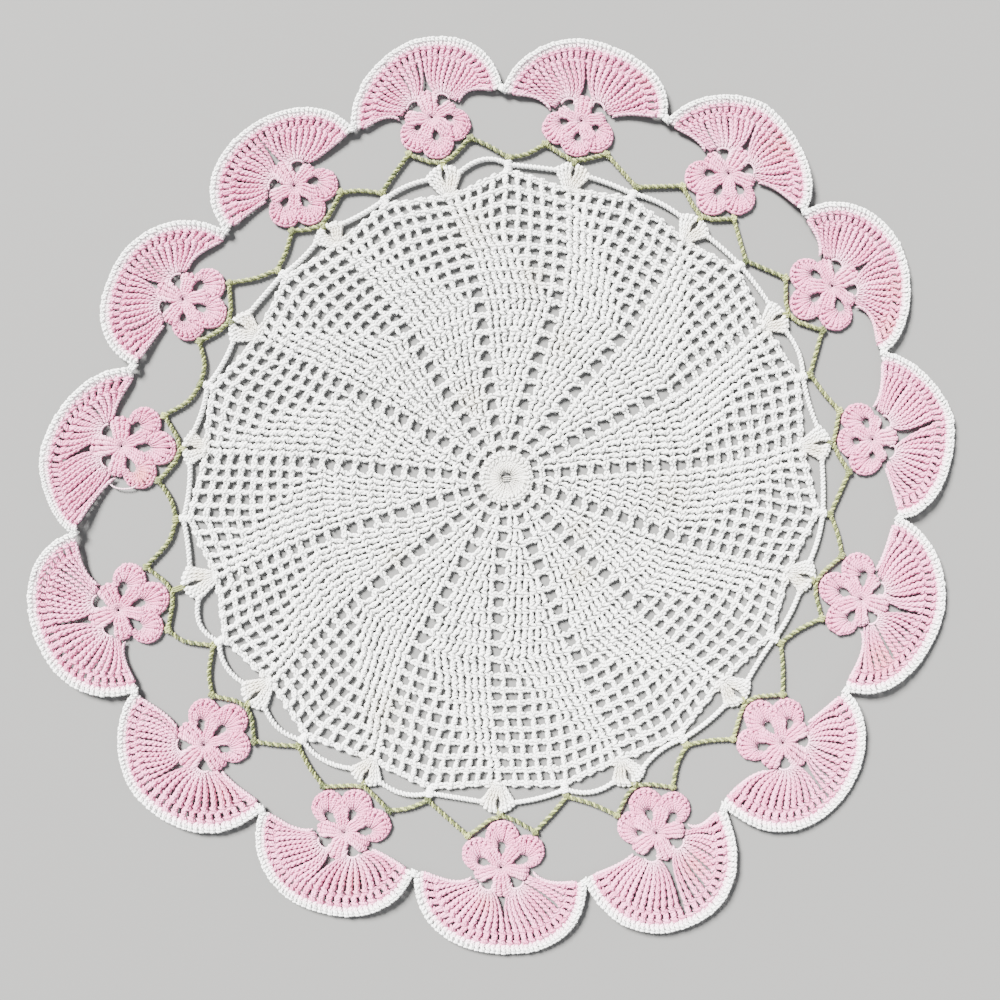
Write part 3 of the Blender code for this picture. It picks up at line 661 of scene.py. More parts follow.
def turned(shape):
    """A shape whose strands run along the cell and not across it."""
    return shape[..., [1, 0, 2]]


# ---- laying stitches ----
def lay(shape, cells, lift=None, jitter=0.08, girth=1.0, usual=STITCH_WIDTH, lean=0.0, lightest=1.0):
    """Strand centre lines, radii and shades of one stitch shape laid in every cell.

    lean, one number or one for each cell, swings the stitch aside on its way. lightest is the lightest
    shade that a stitch may have.
    """
    stations = cells.shape[2] - 1
    along = shape[..., 1] * stations
    below = np.clip(np.floor(along).astype(int), 0, stations - 1)
    share = (along - below)[..., None]
    sides = cells[:, :, below] * (1 - share) + cells[:, :, below + 1] * share
    left, right = sides[:, 0], sides[:, 1]
    aside = np.reshape(lean, (-1, 1, 1, 1)) * np.sin(2 * np.pi * shape[..., 1:2])
    plane = left + (right - left) * (shape[..., :1] + aside)
    width = np.linalg.norm(right - left, axis=-1)
    count = len(cells)
    shake = RANDOM.normal(0, jitter, (count, 1, 1, 3))
    shake = shake + RANDOM.normal(0, jitter / 2, (count, len(shape), 1, 3))
    shake[..., 2] *= UNEVEN_HEIGHT
    height = np.broadcast_to(shape[..., 2], width.shape) + (0.0 if lift is None else lift(plane))
    path = np.concatenate([plane, height[..., None]], axis=-1) + shake
    fitted = np.clip((width / usual) ** GIRTH_POWER, *GIRTH_LIMITS)
    size = girth * RANDOM.normal(1, UNEVEN_GIRTH, (count, 1, 1)) * fitted
    tone = np.broadcast_to(RANDOM.random((count, 1, 1)) * lightest, width.shape)
    points = shape.shape[1]
    return path.reshape(-1, points, 3), (STRAND * size).reshape(-1, points), tone.reshape(-1, points)


def strand_along(line, height, girth=1.0, tone=0.6):
    """One strand along a line, at one height or at a height for each point; past 1, the tone is paleness."""
    line = np.asarray(line, float)
    heights = np.broadcast_to(height, (len(line),))
    path = np.concatenate([line, heights[:, None]], axis=1)[None]
    return path, np.full(path.shape[:2], STRAND * girth), np.full(path.shape[:2], tone)


def twisted(line, height, width, pitch, girth, tones=(0.6, 0.6)):
    """Two strands that wind round each other along a line, one turn for each pitch."""
    turns = length_of(line) / pitch
    line = spaced(line, max(4, round(turns * TWIST_STEPS)))
    aside = sideways(line)
    turn = 2 * np.pi * turns * np.linspace(0, 1, len(line))
    cords = []
    for phase, tone in zip((0.0, np.pi), tones):
        swing = np.cos(turn + phase)[:, None] * width / 4
        rise = np.sin(turn + phase) * width / 5
        cords.append(strand_along(line + aside * swing, height + rise, girth, tone))
    return cords


def rings(path, radius):
    """Points round each strand: (strands, points, SIDES, 3)."""
    way = unit(np.gradient(path, axis=1))
    aside = unit(np.cross(way, (0.0, 0.0, 1.0)))
    above = np.cross(aside, way)
    taper = np.ones(path.shape[1])
    taper[[0, -1]] = TAPER
    turn = 2 * np.pi * np.arange(SIDES) / SIDES
    full = radius * taper * CORNER
    ring = np.cos(turn)[:, None] * aside[:, :, None] + np.sin(turn)[:, None] * above[:, :, None]
    return path[:, :, None] + full[:, :, None, None] * ring


def strand_places(path):
    """Place of each wall's corners on its strand: share of the way round, and mm along."""
    strands, points, _ = path.shape
    steps = np.linalg.norm(np.diff(path, axis=1), axis=2)
    length = np.concatenate([np.zeros((strands, 1)), np.cumsum(steps, axis=1)], axis=1)
    length += RANDOM.random((strands, 1)) * PLY_START
    low = np.broadcast_to(length[:, :-1, None], (strands, points - 1, SIDES))
    high = np.broadcast_to(length[:, 1:, None], low.shape)
    near = np.broadcast_to(np.arange(SIDES) / SIDES, low.shape)
    far = near + 1 / SIDES
    corners = [np.stack(place, axis=-1) for place in ((near, low), (near, high), (far, high), (far, low))]
    return np.stack(corners, axis=3).reshape(-1, 2)


def sweep(batch):
    """Points, walls, ends, strand places and shades of closed round strands."""
    path, radius, tone = batch
    verts = rings(path, radius)
    number = np.arange(verts[..., 0].size).reshape(verts.shape[:3])
    beside = np.roll(number, -1, axis=2)
    walls = np.stack([number[:, :-1], number[:, 1:], beside[:, 1:], beside[:, :-1]], axis=-1).reshape(-1, 4)
    ends = np.concatenate([number[:, 0], number[:, -1, ::-1]])
    shades = np.broadcast_to(tone[:, :, None], number.shape).reshape(-1)
    return verts.reshape(-1, 3), walls, ends, strand_places(path), shades


def joined(batches):
    """Points, faces, face-corner places and shades of all batches together."""
    verts, walls, ends, places, shades = zip(*map(sweep, batches))
    offsets = np.cumsum([0] + [len(points) for points in verts[:-1]])
    faces = np.concatenate([wall + offset for wall, offset in zip(walls, offsets)]
                           + [end + offset for end, offset in zip(ends, offsets)])
    at_ends = np.zeros((sum(len(end) for end in ends) * SIDES, 2))
    return np.concatenate(verts), faces, np.concatenate([*places, at_ends]), np.concatenate(shades)


def mesh_of(name, verts, faces, places):
    """Smooth mesh in metres of four-cornered faces, with the places on the strands as its UV map."""
    mesh = bpy.data.meshes.new(name)
    mesh.vertices.add(len(verts))
    mesh.vertices.foreach_set("co", (verts * MM).astype(np.float32).reshape(-1))
    mesh.loops.add(faces.size)
    mesh.loops.foreach_set("vertex_index", faces.astype(np.int32).reshape(-1))
    mesh.polygons.add(len(faces))
    mesh.polygons.foreach_set("loop_start", np.arange(0, faces.size, SIDES, dtype=np.int32))
    mesh.polygons.foreach_set("use_smooth", np.ones(len(faces), bool))
    layer = mesh.uv_layers.new(name="strand")
    layer.data.foreach_set("uv", places.astype(np.float32).reshape(-1))
    return mesh


def knit(name, batches, thread, stain=None, pale=None):
    """One piece from batches of strands; stain and pale give every point its share of those colours."""
    verts, faces, places, shades = joined(batches)
    mesh = mesh_of(name, verts, faces, places)
    flat = verts[:, :2]
    faded = np.clip(shades - 1, 0, 1)
    amounts = {"tone": np.minimum(shades, 1), "stain": stain(flat) if stain else np.zeros(len(verts)),
               "pale": np.maximum(pale(flat), faded) if pale else faded}
    for key, values in amounts.items():
        mesh.attributes.new(key, "FLOAT", "POINT").data.foreach_set("value", values.astype(np.float32))
    mesh.update(calc_edges=True)
    mesh.validate()
    mesh.materials.append(thread)
    piece = bpy.data.objects.new(name, mesh)
    bpy.context.scene.collection.objects.link(piece)
    return piece


def spots(points, places):
    """How stained each point is, from (place, spread, amount) of every spot."""
    total = np.zeros(len(points))
    for place, spread, amount in places:
        apart = np.linalg.norm(points - place, axis=1)
        total = np.maximum(total, amount * np.exp(-(apart / spread) ** 2))
    return total


def white_stains(points):
    """Age stains of the white round, and the creamier thread of its shells."""
    places = [(polar(row["angle"], row["radius"]), row["spread"], row["amount"])
              for row in table(WHITE_STAIN_COLUMNS, WHITE_STAIN_ROWS)]
    for section in SECTIONS:
        places.append((shell_point(section, *SHELL_CREAM_PLACE), *SHELL_CREAM))
    return spots(points, places)


# ---- the white round ----
def wobble(index, row, count, size=MESH_WOBBLE):
    """How far single posts or gap sides of a section's row stand out of place."""
    return np.random.default_rng(index * SECTION_SEED + row).uniform(-size, size, count)


def rays(index, row):
    """Angles of a section's own ray gap in a row and of the next one."""
    start = ray_angle(SECTIONS[index], row)
    return start, start + (ray_angle(SECTIONS[(index + 1) % COUNT], row) - start) % 360


def stitch_tops(index, row):
    """Angles of both sides of each stitch's top in a section's row: close stitches, then single posts."""
    start, end = rays(index, row)
    before, after = FIRST_GAP_TOP if row == 1 else GAP_TOP
    radius = row_radius((start + end) / 2, row)
    shift = wobble(index, row, 2, GAP_WOBBLE)
    start += arc(after + shift[0], radius)
    end -= arc(before + shift[1], radius)
    if row <= SOLID_ROWS:
        return pairs(np.linspace(start, end, row + 1))
    count = LAST_ROW + 1 - row
    single = row - SOLID_ROWS
    last = start + arc(WEDGE_STITCH * count, radius)
    close = pairs(np.linspace(start, last + arc(FIRST_HOLE_LOSS, radius), count + 1))
    right = last + (end - last) * np.arange(1, single + 1) / single
    right[:-1] += arc(wobble(index, row + POST_SEED, single - 1), radius)
    left = right - arc(POST_WIDTH + POST_LEAN, radius)
    return np.concatenate([close, np.stack([left, right], axis=1)])


def stitch_feet(index, row):
    """Angles of both sides of each stitch's foot, on the row below."""
    if row > SOLID_ROWS:
        feet = stitch_tops(index, row - 1).copy()
        radius = row_radius(feet[0, 0], row - 1)
        feet[0, 0] += arc(GAP_FOOT[1] - GAP_TOP[1], radius)
        feet[-1, 1] -= arc(GAP_FOOT[0] - GAP_TOP[0], radius)
        feet[LAST_ROW + 2 - row:-1, 1] -= arc(POST_LEAN, radius)
        return feet
    below = max(row - 1, 1)
    start, end = rays(index, below)
    before, after = GAP_FOOT
    radius = row_radius((start + end) / 2, row - 1)
    room = FIRST_GAP_ROOM if row == 1 else min(1.0, GAP_SHARE * radius * math.radians(end - start) / before)
    shift = wobble(index, row + FOOT_SEED, 2, GAP_WOBBLE * room)
    return pairs(np.linspace(start + arc(after * room + shift[0], radius),
                             end - arc(before * room + shift[1], radius), row + 1))


def row_cells(index, row):
    """Cells of one section's stitches in a row."""
    feet, tops = stitch_feet(index, row), stitch_tops(index, row)
    below, above = (polar(angles, row_radii(angles.ravel(), number).reshape(angles.shape))
                    for angles, number in ((feet, row - 1), (tops, row)))
    return np.stack([below, above], axis=2)


def all_row_cells():
    """Cells of every row, and each cell's kind and lean: close stitches are True, single posts False."""
    cells, close, lean = [], [], []
    for row in range(1, LAST_ROW + 1):
        for index, section in enumerate(SECTIONS):
            made = row_cells(index, row)
            cells.append(made)
            close.append(np.arange(len(made)) < (LAST_ROW + 1 - row if row > SOLID_ROWS else row))
            lean.append(np.full(len(made), section["lean"]))
    return np.concatenate(cells), np.concatenate(close), np.concatenate(lean)


def disc_cells():
    """Cells of the first round, worked into the starting ring."""
    angles = np.linspace(0, 360, DISC_STITCHES + 1)
    return ladder(polar(angles, EYE_RADIUS + DISC_START), polar(angles, DISC_RADIUS))


def chain_bars(index, row):
    """Chain lines of one section's row: across the next ray, then between the single posts."""
    tops = stitch_tops(index, row)
    following = stitch_tops((index + 1) % COUNT, row)[0, 0]
    following = tops[-1, 1] + (following - tops[-1, 1]) % 360
    spans = [(tops[-1, 1], following, BAR_WIDE_BOW)]
    for number in range(max(LAST_ROW + 1 - row, 1), len(tops) if row > SOLID_ROWS else 0):
        spans.append((tops[number - 1, 1], tops[number, 0], BAR_BOW))
    lines = []
    for start, end, bow in spans:
        over = arc(BAR_OVERLAP, row_radius(start, row))
        angles = np.linspace(start - over, end + over, len(BAR_BOW_SHARES))
        radii = row_radii(angles, row) - CHAIN_WIDTH / 2 + BAR_OUT
        lines.append(polar(angles, radii + bow * np.array(BAR_BOW_SHARES)))
    return lines


def shell_point(section, across, out):
    """Point on a fan shell, from its base on the edge; it is as high as its pansy's chin leaves room for."""
    base = row_radius(section["shell"], LAST_ROW)
    pansy = PANSIES[(SECTIONS.index(section) + 1) % COUNT]
    room = pansy["radius"] - pansy["chin"] - GREEN_WIDTH - GREEN_SLACK - 2 * GAP - base
    turn = math.radians(section["shell"])
    x, y = polar(section["shell"], base + out * min(SHELL_STRETCH, room / SHELL_HEIGHT))
    return np.array([x + across * math.cos(turn), y - across * math.sin(turn)])


def shell_cells(section):
    """Cells of one fan shell: two groups of tall stitches from one place on the edge.

    The groups part over their middles and meet again at the top, where the green chain is tied.
    """
    stations = [spaced(ends, SHELL_POSTS) for ends in zip(SHELL_OUTER[:-1], SHELL_INNER[:-1])]
    stations.append(spaced([SHELL_OUTER[-1], SHELL_SHOULDER, SHELL_INNER[-1]], SHELL_POSTS))
    lines = np.stack(stations, axis=1)
    cells = []
    for side, half in ((-1, lines), (1, lines[::-1])):
        cells.append(between([[shell_point(section, side * across, out) for across, out in line]
                              for line in half]))
    return np.concatenate(cells)


def loop_lines(section, before):
    """Centre lines of the chain loops on both sides of one shell."""
    lines = []
    for side, join, bow in ((-1, before, before["bow_after"]), (1, section, section["bow_before"])):
        angle = section["shell"] + (join["join"] - section["shell"] + 180) % 360 - 180
        start = shell_point(section, side * LOOP_START[0], LOOP_START[1])
        end = polar(angle, join["join_radius"])
        out = polar(angle, 1.0) - np.array(HUB)
        share = np.linspace(0, 1, LOOP_POINTS)[:, None]
        lines.append(start + (end - start) * share + out * (bow + LOOP_BOW) * 4 * share * (1 - share))
    return lines


def tilts(count, lean=0.0):
    """Leans of stitches, each a little off its section's."""
    return RANDOM.normal(0, STITCH_TILT, count) - lean


def white_posts(cells, close, lean):
    """The posts of the whole round, from the starting ring to the last row."""
    return [lay(rope(**DISC_POST), disc_cells(), usual=2.0),
            lay(rope(**CLOSE_POST), cells[close], lean=tilts(close.sum(), lean[close])),
            lay(rope(**SINGLE_POST), cells[~close], jitter=0.14, usual=2.3, lean=tilts((~close).sum()))]


def white_tops(cells, close, lean):
    """The wraps on the close posts, and the V links over every post of the round."""
    disc = disc_cells()
    return [lay(row_top(), rim(disc, *DISC_RIM), usual=2.2),
            lay(cross_wrap(), disc, usual=2.2),
            lay(cross_wrap(), cells[close], lean=tilts(close.sum(), lean[close]), jitter=0.2, girth=0.92),
            lay(row_top(), rim(cells), jitter=0.2, girth=0.95)]


def hub_threads():
    """Thin threads of the starting ring that cross its eye."""
    threads = []
    for out in HUB_THREADS:
        line = rounded([(share * HUB_THREAD_REACH, out - drop) for share, drop in HUB_THREAD_BEND], steps=4)
        # tone 0.0 gives them the darkest white: painted shade, for threads that lie in shade over the eye
        threads.append(strand_along(line + HUB, height=0.2, girth=0.3, tone=0.0))
    return threads


def white_chains():
    """Chain bars, fan shells and chain loops."""
    bars = [strip(line, CHAIN_WIDTH, CHAIN_PITCH) for index in range(COUNT) for row in range(1, LAST_ROW + 1)
            for line in chain_bars(index, row)]
    shells = np.concatenate([shell_cells(section) for section in SECTIONS])
    loops = []
    for index, section in enumerate(SECTIONS):
        for line in loop_lines(section, SECTIONS[index - 1]):
            loops += twisted(line, LOOP_HEIGHT, LOOP_STRIP, LOOP_PITCH, girth=0.95)
    joins = []
    for section in SECTIONS:
        stem = polar(np.array([section["join"]] * 2), section["join_radius"] + np.array(JOIN_REACH))
        joins.append(strip(stem, JOIN_WIDTH, JOIN_PITCH))
    return [lay(link(), np.concatenate(bars), usual=CHAIN_WIDTH, jitter=0.15),
            lay(rope(**SHELL_POST), shells, usual=1.8, girth=1.08),
            lay(row_top(), rim(shells), usual=1.8, girth=1.1),
            lay(wraps(), np.concatenate(joins), jitter=0.12),
            *hub_threads()] + loops


# ---- the green round ----
def bowed(start, end, bow):
    """Middle of a chain between two points, bowed away from the hub."""
    middle = (start + end) / 2
    return middle + bow * unit(middle - HUB)


def green_path():
    """Centre line of the green chain: join, left petal, bottom petal's tip, right petal, next join."""
    reach = PETAL_RADIUS + GAP + GREEN_SLACK + GREEN_WIDTH / 2
    points = []
    for index, section in enumerate(SECTIONS):
        before = SECTIONS[index - 1]
        pansy = PANSIES[(index + 1) % COUNT]
        left, bottom, right = small_petals(pansy)
        places = ((left, pansy["left_knot"]), *((bottom, turn) for turn in BOTTOM_CORNERS),
                  (right, pansy["right_knot"]))
        corners = on_doily(pansy, [petal + heading(turn) * reach for petal, turn in places])
        join = polar(before["join"], before["join_radius"] + GREEN_STANDOFF)
        following = polar(section["join"], section["join_radius"] + GREEN_STANDOFF)
        points.append(join)
        points.append(bowed(join, corners[0], before["green_bow_after"]))
        points.extend(corners)
        points.append(bowed(corners[-1], following, section["green_bow_before"]))
    return np.array(points)


def green_runs(points):
    """The green chain in runs between its corners, each bent smoothly through its bowed middle."""
    line = []
    for start in range(0, len(points), GREEN_RUN):
        run = np.concatenate([points[start:start + GREEN_RUN], points[[(start + GREEN_RUN) % len(points)]]])
        line.append(rounded(run[0:3])[:-1])
        line.append(run[2:6])
        line.append(rounded(run[6:9])[:-1])
    return np.concatenate(line + [points[:1]])


def green_chain():
    """The chain that joins the pansies to the round, with the wraps at its knots."""
    points = green_path()
    knots = []
    for corner in [start + knot for start in range(0, len(points), GREEN_RUN) for knot in KNOT_CORNERS]:
        way = unit(points[(corner + 1) % len(points)] - points[corner - 1]) * KNOT_REACH
        knots.append(strip([points[corner] - way, points[corner] + way], KNOT_WIDTH, KNOT_PITCH))
    ties = []
    for index, section in enumerate(SECTIONS):
        top = shell_point(section, 0.0, SHELL_HEIGHT - TIE_DROP)
        ties.append(strip([top, points[GREEN_RUN * index + CHIN_CORNER]], TIE_WIDTH, ONE_CELL))
    chain = twisted(green_runs(points), GREEN_HEIGHT, GREEN_WIDTH + GREEN_OVER, GREEN_PITCH, girth=0.86,
                    tones=GREEN_TONES)
    return chain + [lay(wraps(1.4), np.concatenate(knots), jitter=0.12, girth=0.9),
                    lay(turned(wraps(1.7)), np.concatenate(ties), jitter=0.1, girth=0.8)]


# ---- pansies ----
def underside(pansy, side, across):
    """Point on a fan's lower side, between the notch by the small petals and the pink corner of its tip."""
    notch, tip = NOTCHES[side], of_side(pansy, side, "tip")
    corner = (tip[0] - side * (EDGING_WIDTH + GAP + TIP_CLEARANCE), tip[1] - FAN_TIP_DROP)
    share = np.clip((across - notch[0]) / (corner[0] - notch[0]), 0.0, 1.0)
    arch = of_side(pansy, side, "hollow") * math.sin(math.pi * share ** HOLLOW_SKEW)
    return np.array([across, notch[1] + (corner[1] - notch[1]) * share + arch])


def dome_line(pansy, side, inset):
    """One half of a fan's outer curve, moved in by inset: left tip up to apex, or apex down to right tip."""
    tip, power, apex = of_side(pansy, side, "tip"), of_side(pansy, side, "fullness"), pansy["apex"]
    reach = abs(tip[0] - apex[0]) - inset - TIP_CLEARANCE
    height = apex[1] - inset - tip[1]
    turn = np.linspace(0, math.pi / 2, DOME_POINTS)
    line = np.stack([apex[0] + side * reach * np.cos(turn) ** (2 / power),
                     tip[1] + height * np.sin(turn) ** (2 / power)], axis=1)
    corner = np.array([line[0, 0] - side * TIP_STEP, tip[1] - FAN_TIP_DROP])
    if inset > EDGING_WIDTH:
        corner = underside(pansy, side, corner[0])
    line = np.concatenate([[corner], line[line[:, 1] > corner[1] + TIP_STEP]])
    return line if side < 0 else line[::-1]


def eye_ring(pansy, side, directions):
    """Points round an upper eye, where the fan's stitches start."""
    tilt = -side * EYE_TILT
    phase = np.radians(directions - tilt)
    points = np.stack([EYE_ROOTS[0] * np.cos(phase), EYE_ROOTS[1] * np.sin(phase)], axis=-1)
    long, short = heading(tilt), heading(tilt + 90)
    return upper_eye(pansy, side) + points[:, :1] * long + points[:, 1:] * short


def fan_cells(pansy, side):
    """Cells of one fan's tall stitches, from the rim of its eye to the second row.

    They rise from the eye and turn towards the edge. The innermost ones run up along the slit between the
    fans, and the outermost ones along the fan's lower side.
    """
    directions = np.linspace(*FAN_TURNS[side], FAN_POSTS + 1)
    eye = upper_eye(pansy, side)
    root = eye_ring(pansy, side, directions)
    top = spaced(dome_line(pansy, side, EDGING_WIDTH + SECOND_ROW), FAN_POSTS)
    inmost, outmost = (-1, 0) if side < 0 else (0, -1)
    top[inmost, 0] += side * max(pansy["slit"] - SLIT_LOSS, 0.0) / 2
    nearness = np.linspace(0, 1, FAN_POSTS + 1)[:, None]
    if side > 0:
        nearness = nearness[::-1]
    rise = root + heading(directions) * FAN_RISE
    bend = top + (eye - top) * FAN_BEND
    notch = np.array([side * NOTCH_WIDTH / 2, FAN_NOTCH])
    middle = (1 - SLIT_MIDDLE) * notch * (0, 1) + SLIT_MIDDLE * top[inmost]
    inner = nearness ** INMOST_POWER
    rise = rise * (1 - inner) + notch * inner
    bend = bend * (1 - inner) + middle * inner
    corner, start = top[outmost], np.array(NOTCHES[side])
    hollow = np.array([0.0, of_side(pansy, side, "hollow")])
    outer = (1 - nearness) ** OUTMOST_POWER
    root = root * (1 - LOWER_PULL * outer) + start * LOWER_PULL * outer
    rise = rise * (1 - outer) + (start + (corner - start) / 3 + LOWER_ARCH * hollow) * outer
    bend = bend * (1 - outer) + (start + (corner - start) * 2 / 3 + hollow) * outer
    return between([cubic(*points, FAN_STATIONS) for points in zip(root, rise, bend, top)])


def dome_cells(pansy, side, inner, outer, count):
    """count cells between two insets of one fan's outer curve."""
    return ladder(*(spaced(dome_line(pansy, side, inset), count) for inset in (inner, outer)))


def second_row_cells(pansy, side):
    """Cells of the second row of one fan."""
    return dome_cells(pansy, side, EDGING_WIDTH + SECOND_ROW, EDGING_WIDTH + GAP, FAN_ROW_STITCHES)


def edging_cells(pansy, side):
    """Cells of the white edging of one fan."""
    return dome_cells(pansy, side, EDGING_WIDTH, EDGING_OUT, EDGING_STITCHES)


def direction_of(point):
    """Direction of a point from the flower's centre, in degrees anticlockwise from across."""
    return math.degrees(math.atan2(point[1], point[0]))


def reach_of(origin, way, centre, radius, limits):
    """How far a ray goes before it meets a petal's rim or a limit line from the flower's centre."""
    apart = origin - centre
    along = -apart @ way
    reach = along + math.sqrt(max(radius ** 2 - apart @ apart + along ** 2, LEAST_CHORD))
    for limit in limits:
        edge = heading(limit)
        crossing = way[0] * edge[1] - way[1] * edge[0]
        if abs(crossing) < TINY:
            continue
        distance = -(origin[0] * edge[1] - origin[1] * edge[0]) / crossing
        if distance > 0 and (origin + way * distance) @ edge > 0:
            reach = min(reach, distance)
    return reach


def petal_cells(pansy, number):
    """Cells of one small petal's stitches, round the far side of its eye."""
    petals = small_petals(pansy)
    eye = lower_eyes(pansy)[number]
    ways = [direction_of(petal) for petal in petals]
    bounds = (SIDE_LIMITS[0], (ways[0] + ways[1]) / 2, (ways[1] + ways[2]) / 2, SIDE_LIMITS[1])
    facing = direction_of(eye)
    lines = []
    for turn in np.linspace(facing - PETAL_SPREAD, facing + PETAL_SPREAD, PETAL_POSTS + 1):
        way = heading(turn)
        reach = reach_of(eye, way, petals[number], PETAL_RADIUS - PETAL_SHORT, bounds[number:number + 2])
        lines.append([eye + way * PETAL_ROOT, eye + way * max(reach, PETAL_ROOT + PETAL_LEAST)])
    return between(lines)


def inner_cells(pansy):
    """Cells of the five inner petals: bundles that open out from the flower's centre between its eyes."""
    left, bottom, right = lower_eyes(pansy)
    eyes = [upper_eye(pansy, 1), upper_eye(pansy, -1), left, bottom, right, upper_eye(pansy, 1)]
    ways = np.degrees(np.unwrap([math.radians(direction_of(eye)) for eye in eyes]))
    size = INNER_FIXED + (1 - INNER_FIXED) * pansy["chin"] / USUAL_CHIN
    root, wide, head = INNER_STATIONS
    cells = []
    for start, end, long in zip(ways, ways[1:], INNER_LENGTHS):
        middle, full = (start + end) / 2, (end - start) / 2
        lines = []
        for share in np.linspace(-1, 1, INNER_POSTS + 1):
            tip = long * size - INNER_ROUND * share ** 2
            stations = ((root, full), (wide, full), (head * tip, full - INNER_CLEAR), (tip, full * INNER_TIP))
            lines.append([heading(middle + half * share) * radius for radius, half in stations])
        cells.append(between(lines))
    return np.concatenate(cells)


def fan_cords(pansy, lift):
    """Twisted cords along the lower sides of both fans, and the loops over the upper eyes."""
    cords = []
    for side in (-1, 1):
        tip = of_side(pansy, side, "tip")
        reach = np.linspace(NOTCHES[side][0], tip[0] - side * (EDGING_WIDTH + CORD_SHORT), CORD_POINTS)
        line = np.array([underside(pansy, side, across) for across in reach]) + (0.0, CORD_UP)
        turn = np.linspace(0, 2 * np.pi * CORD_TURNS, len(line))
        for phase in (0, np.pi):
            waved = line + np.stack([np.zeros(len(line)), CORD_SWING * np.cos(turn + phase)], axis=1)
            height = CORD_HEIGHT + CORD_RISE * np.sin(turn + phase) + lift(line)
            cords.append(strand_along(waved, height, girth=0.8, tone=1.45))
        over = eye_ring(pansy, side, np.linspace(*EYE_LOOP))
        cords.append(strand_along(over, EYE_LOOP_HEIGHT + lift(over), girth=0.75, tone=1.55))
    return cords


def placed(pansy, batches):
    """Batches laid in a pansy's own plane, moved to their place on the doily."""
    moved = []
    for path, radius, tone in batches:
        moved.append((np.concatenate([on_doily(pansy, path[..., :2]), path[..., 2:]], axis=-1), radius, tone))
    return moved


def lift_of(index):
    """Height function of one pansy."""
    return lambda points: pansy_lift(index, points)


def each(make, pansy, keys):
    """The cells that make gives for every side or number, in one array."""
    return np.concatenate([make(pansy, key) for key in keys])


def pansy_posts(index):
    """Fans and small petals of one pansy."""
    pansy, lift = PANSIES[index], lift_of(index)
    fans, petals = each(fan_cells, pansy, (-1, 1)), each(petal_cells, pansy, range(3))
    # lightest=0.5 darkens the small petals' dye: painted shade for the shade in their crevices
    return placed(pansy, [lay(rope(**FAN_POST), fans, lift, jitter=0.12, girth=1.06, usual=2.5),
                          lay(rope(**PETAL_POST), petals, lift, usual=1.8, lightest=0.5)])


def pansy_tops(index):
    """Second row, inner petals, cords and row tops of one pansy."""
    pansy, lift = PANSIES[index], lift_of(index)
    fans, second = each(fan_cells, pansy, (-1, 1)), each(second_row_cells, pansy, (-1, 1))
    petals, inner = each(petal_cells, pansy, range(3)), inner_cells(pansy)
    batches = [lay(row_top(PANSY_TOP), rim(fans, *FAN_RIM), lift, usual=2.6),
               lay(rope(**SECOND_POST), second, lift, usual=2.6, girth=1.02),
               lay(row_top(PANSY_TOP), rim(second, *SECOND_RIM), lift, usual=2.8),
               # lightest=0.6 darkens the petals' tops and the inner petals: painted shade for the shade in
               # their crevices
               lay(edge_top(PETAL_TOP), rim(petals, *PETAL_RIM), lift, usual=2.4, lightest=0.6),
               lay(rope(**INNER_POST), inner, lift, usual=1.5, girth=1.1, lightest=0.6),
               lay(row_top(PANSY_TOP), rim(inner, *INNER_RIM), lift, usual=2.4, lightest=0.6)]
    batches += fan_cords(pansy, lift)
    if index + 1 == LOOSE_THREAD_PANSY:
        line = rounded(LOOSE_THREAD, steps=3)
        batches.append(strand_along(line, height=1.3, girth=0.5, tone=1.95))
    return placed(pansy, batches)


def tip_tie(index):
    """Three white stitches that tie a pansy's right tip to the next pansy's left tip."""
    pansy, following = PANSIES[index], PANSIES[(index + 1) % COUNT]
    across, out = TIP_TIE
    ends = np.array([on_doily(pansy, np.array(pansy["right_tip"]) + (-across, out)),
                     on_doily(following, np.array(following["left_tip"]) + (across, out))])
    return lay(turned(wraps(1.9)), strip(ends, TIP_TIE_WIDTH, ONE_CELL),
               lambda points: pansy["next_tip_lift"] * TIP_TIE_LIFT)


def edging_batches(index):
    """White edging row of one pansy's fan, and the stitches that tie it to the next."""
    pansy, lift = PANSIES[index], lift_of(index)
    cells = each(edging_cells, pansy, (-1, 1))
    path, radius, tone = lay(rope(**EDGING_POST), cells, lift, usual=2.0, lean=0.15, girth=1.05)
    blush = np.broadcast_to(np.linspace(*EDGING_BLUSH, tone.shape[1]), tone.shape)
    batches = placed(pansy, [(path, radius, 1 + blush),
                             lay(edge_top(), rim(cells, *EDGING_RIM), lift, usual=2.1, girth=1.05)])
    return batches + [tip_tie(index)]


def pink_stains(number, pansy):
    """Stain function of one pansy."""
    places = [((row["across"], row["out"]), row["spread"], row["amount"])
              for row in table(PINK_STAIN_COLUMNS, PINK_STAIN_ROWS) if row["pansy"] == number]
    return lambda points: spots(on_pansy(pansy, points), places)


def pale_parts(pansy):
    """How pale a pansy's thread is: the dye is weakest round the eyes and in the flower's centre."""
    places = [(upper_eye(pansy, side) + PALE_OVER, *PALE_UPPER) for side in (-1, 1)]
    places += [(place, *PALE_LOWER) for place in (*lower_eyes(pansy), np.zeros(2))]
    return lambda points: spots(on_pansy(pansy, points), places)


# ---- cotton ----
def node(tree, kind, inputs, **settings):
    """New shader node; inputs pairs its sockets with values, or with the sockets that feed them."""
    made = tree.nodes.new(kind)
    made.location = (-NODE_STEP * len(tree.nodes), -NODE_STEP)
    for name, setting in settings.items():
        setattr(made, name, setting)
    for socket, value in inputs.items():
        if isinstance(value, bpy.types.NodeSocket):
            tree.links.new(value, made.inputs[socket])
        else:
            made.inputs[socket].default_value = value
    return made


def worked_out(tree, operation, first, second):
    """Result of a sum on two values or sockets."""
    return node(tree, "ShaderNodeMath", {0: first, 1: second}, operation=operation).outputs[0]


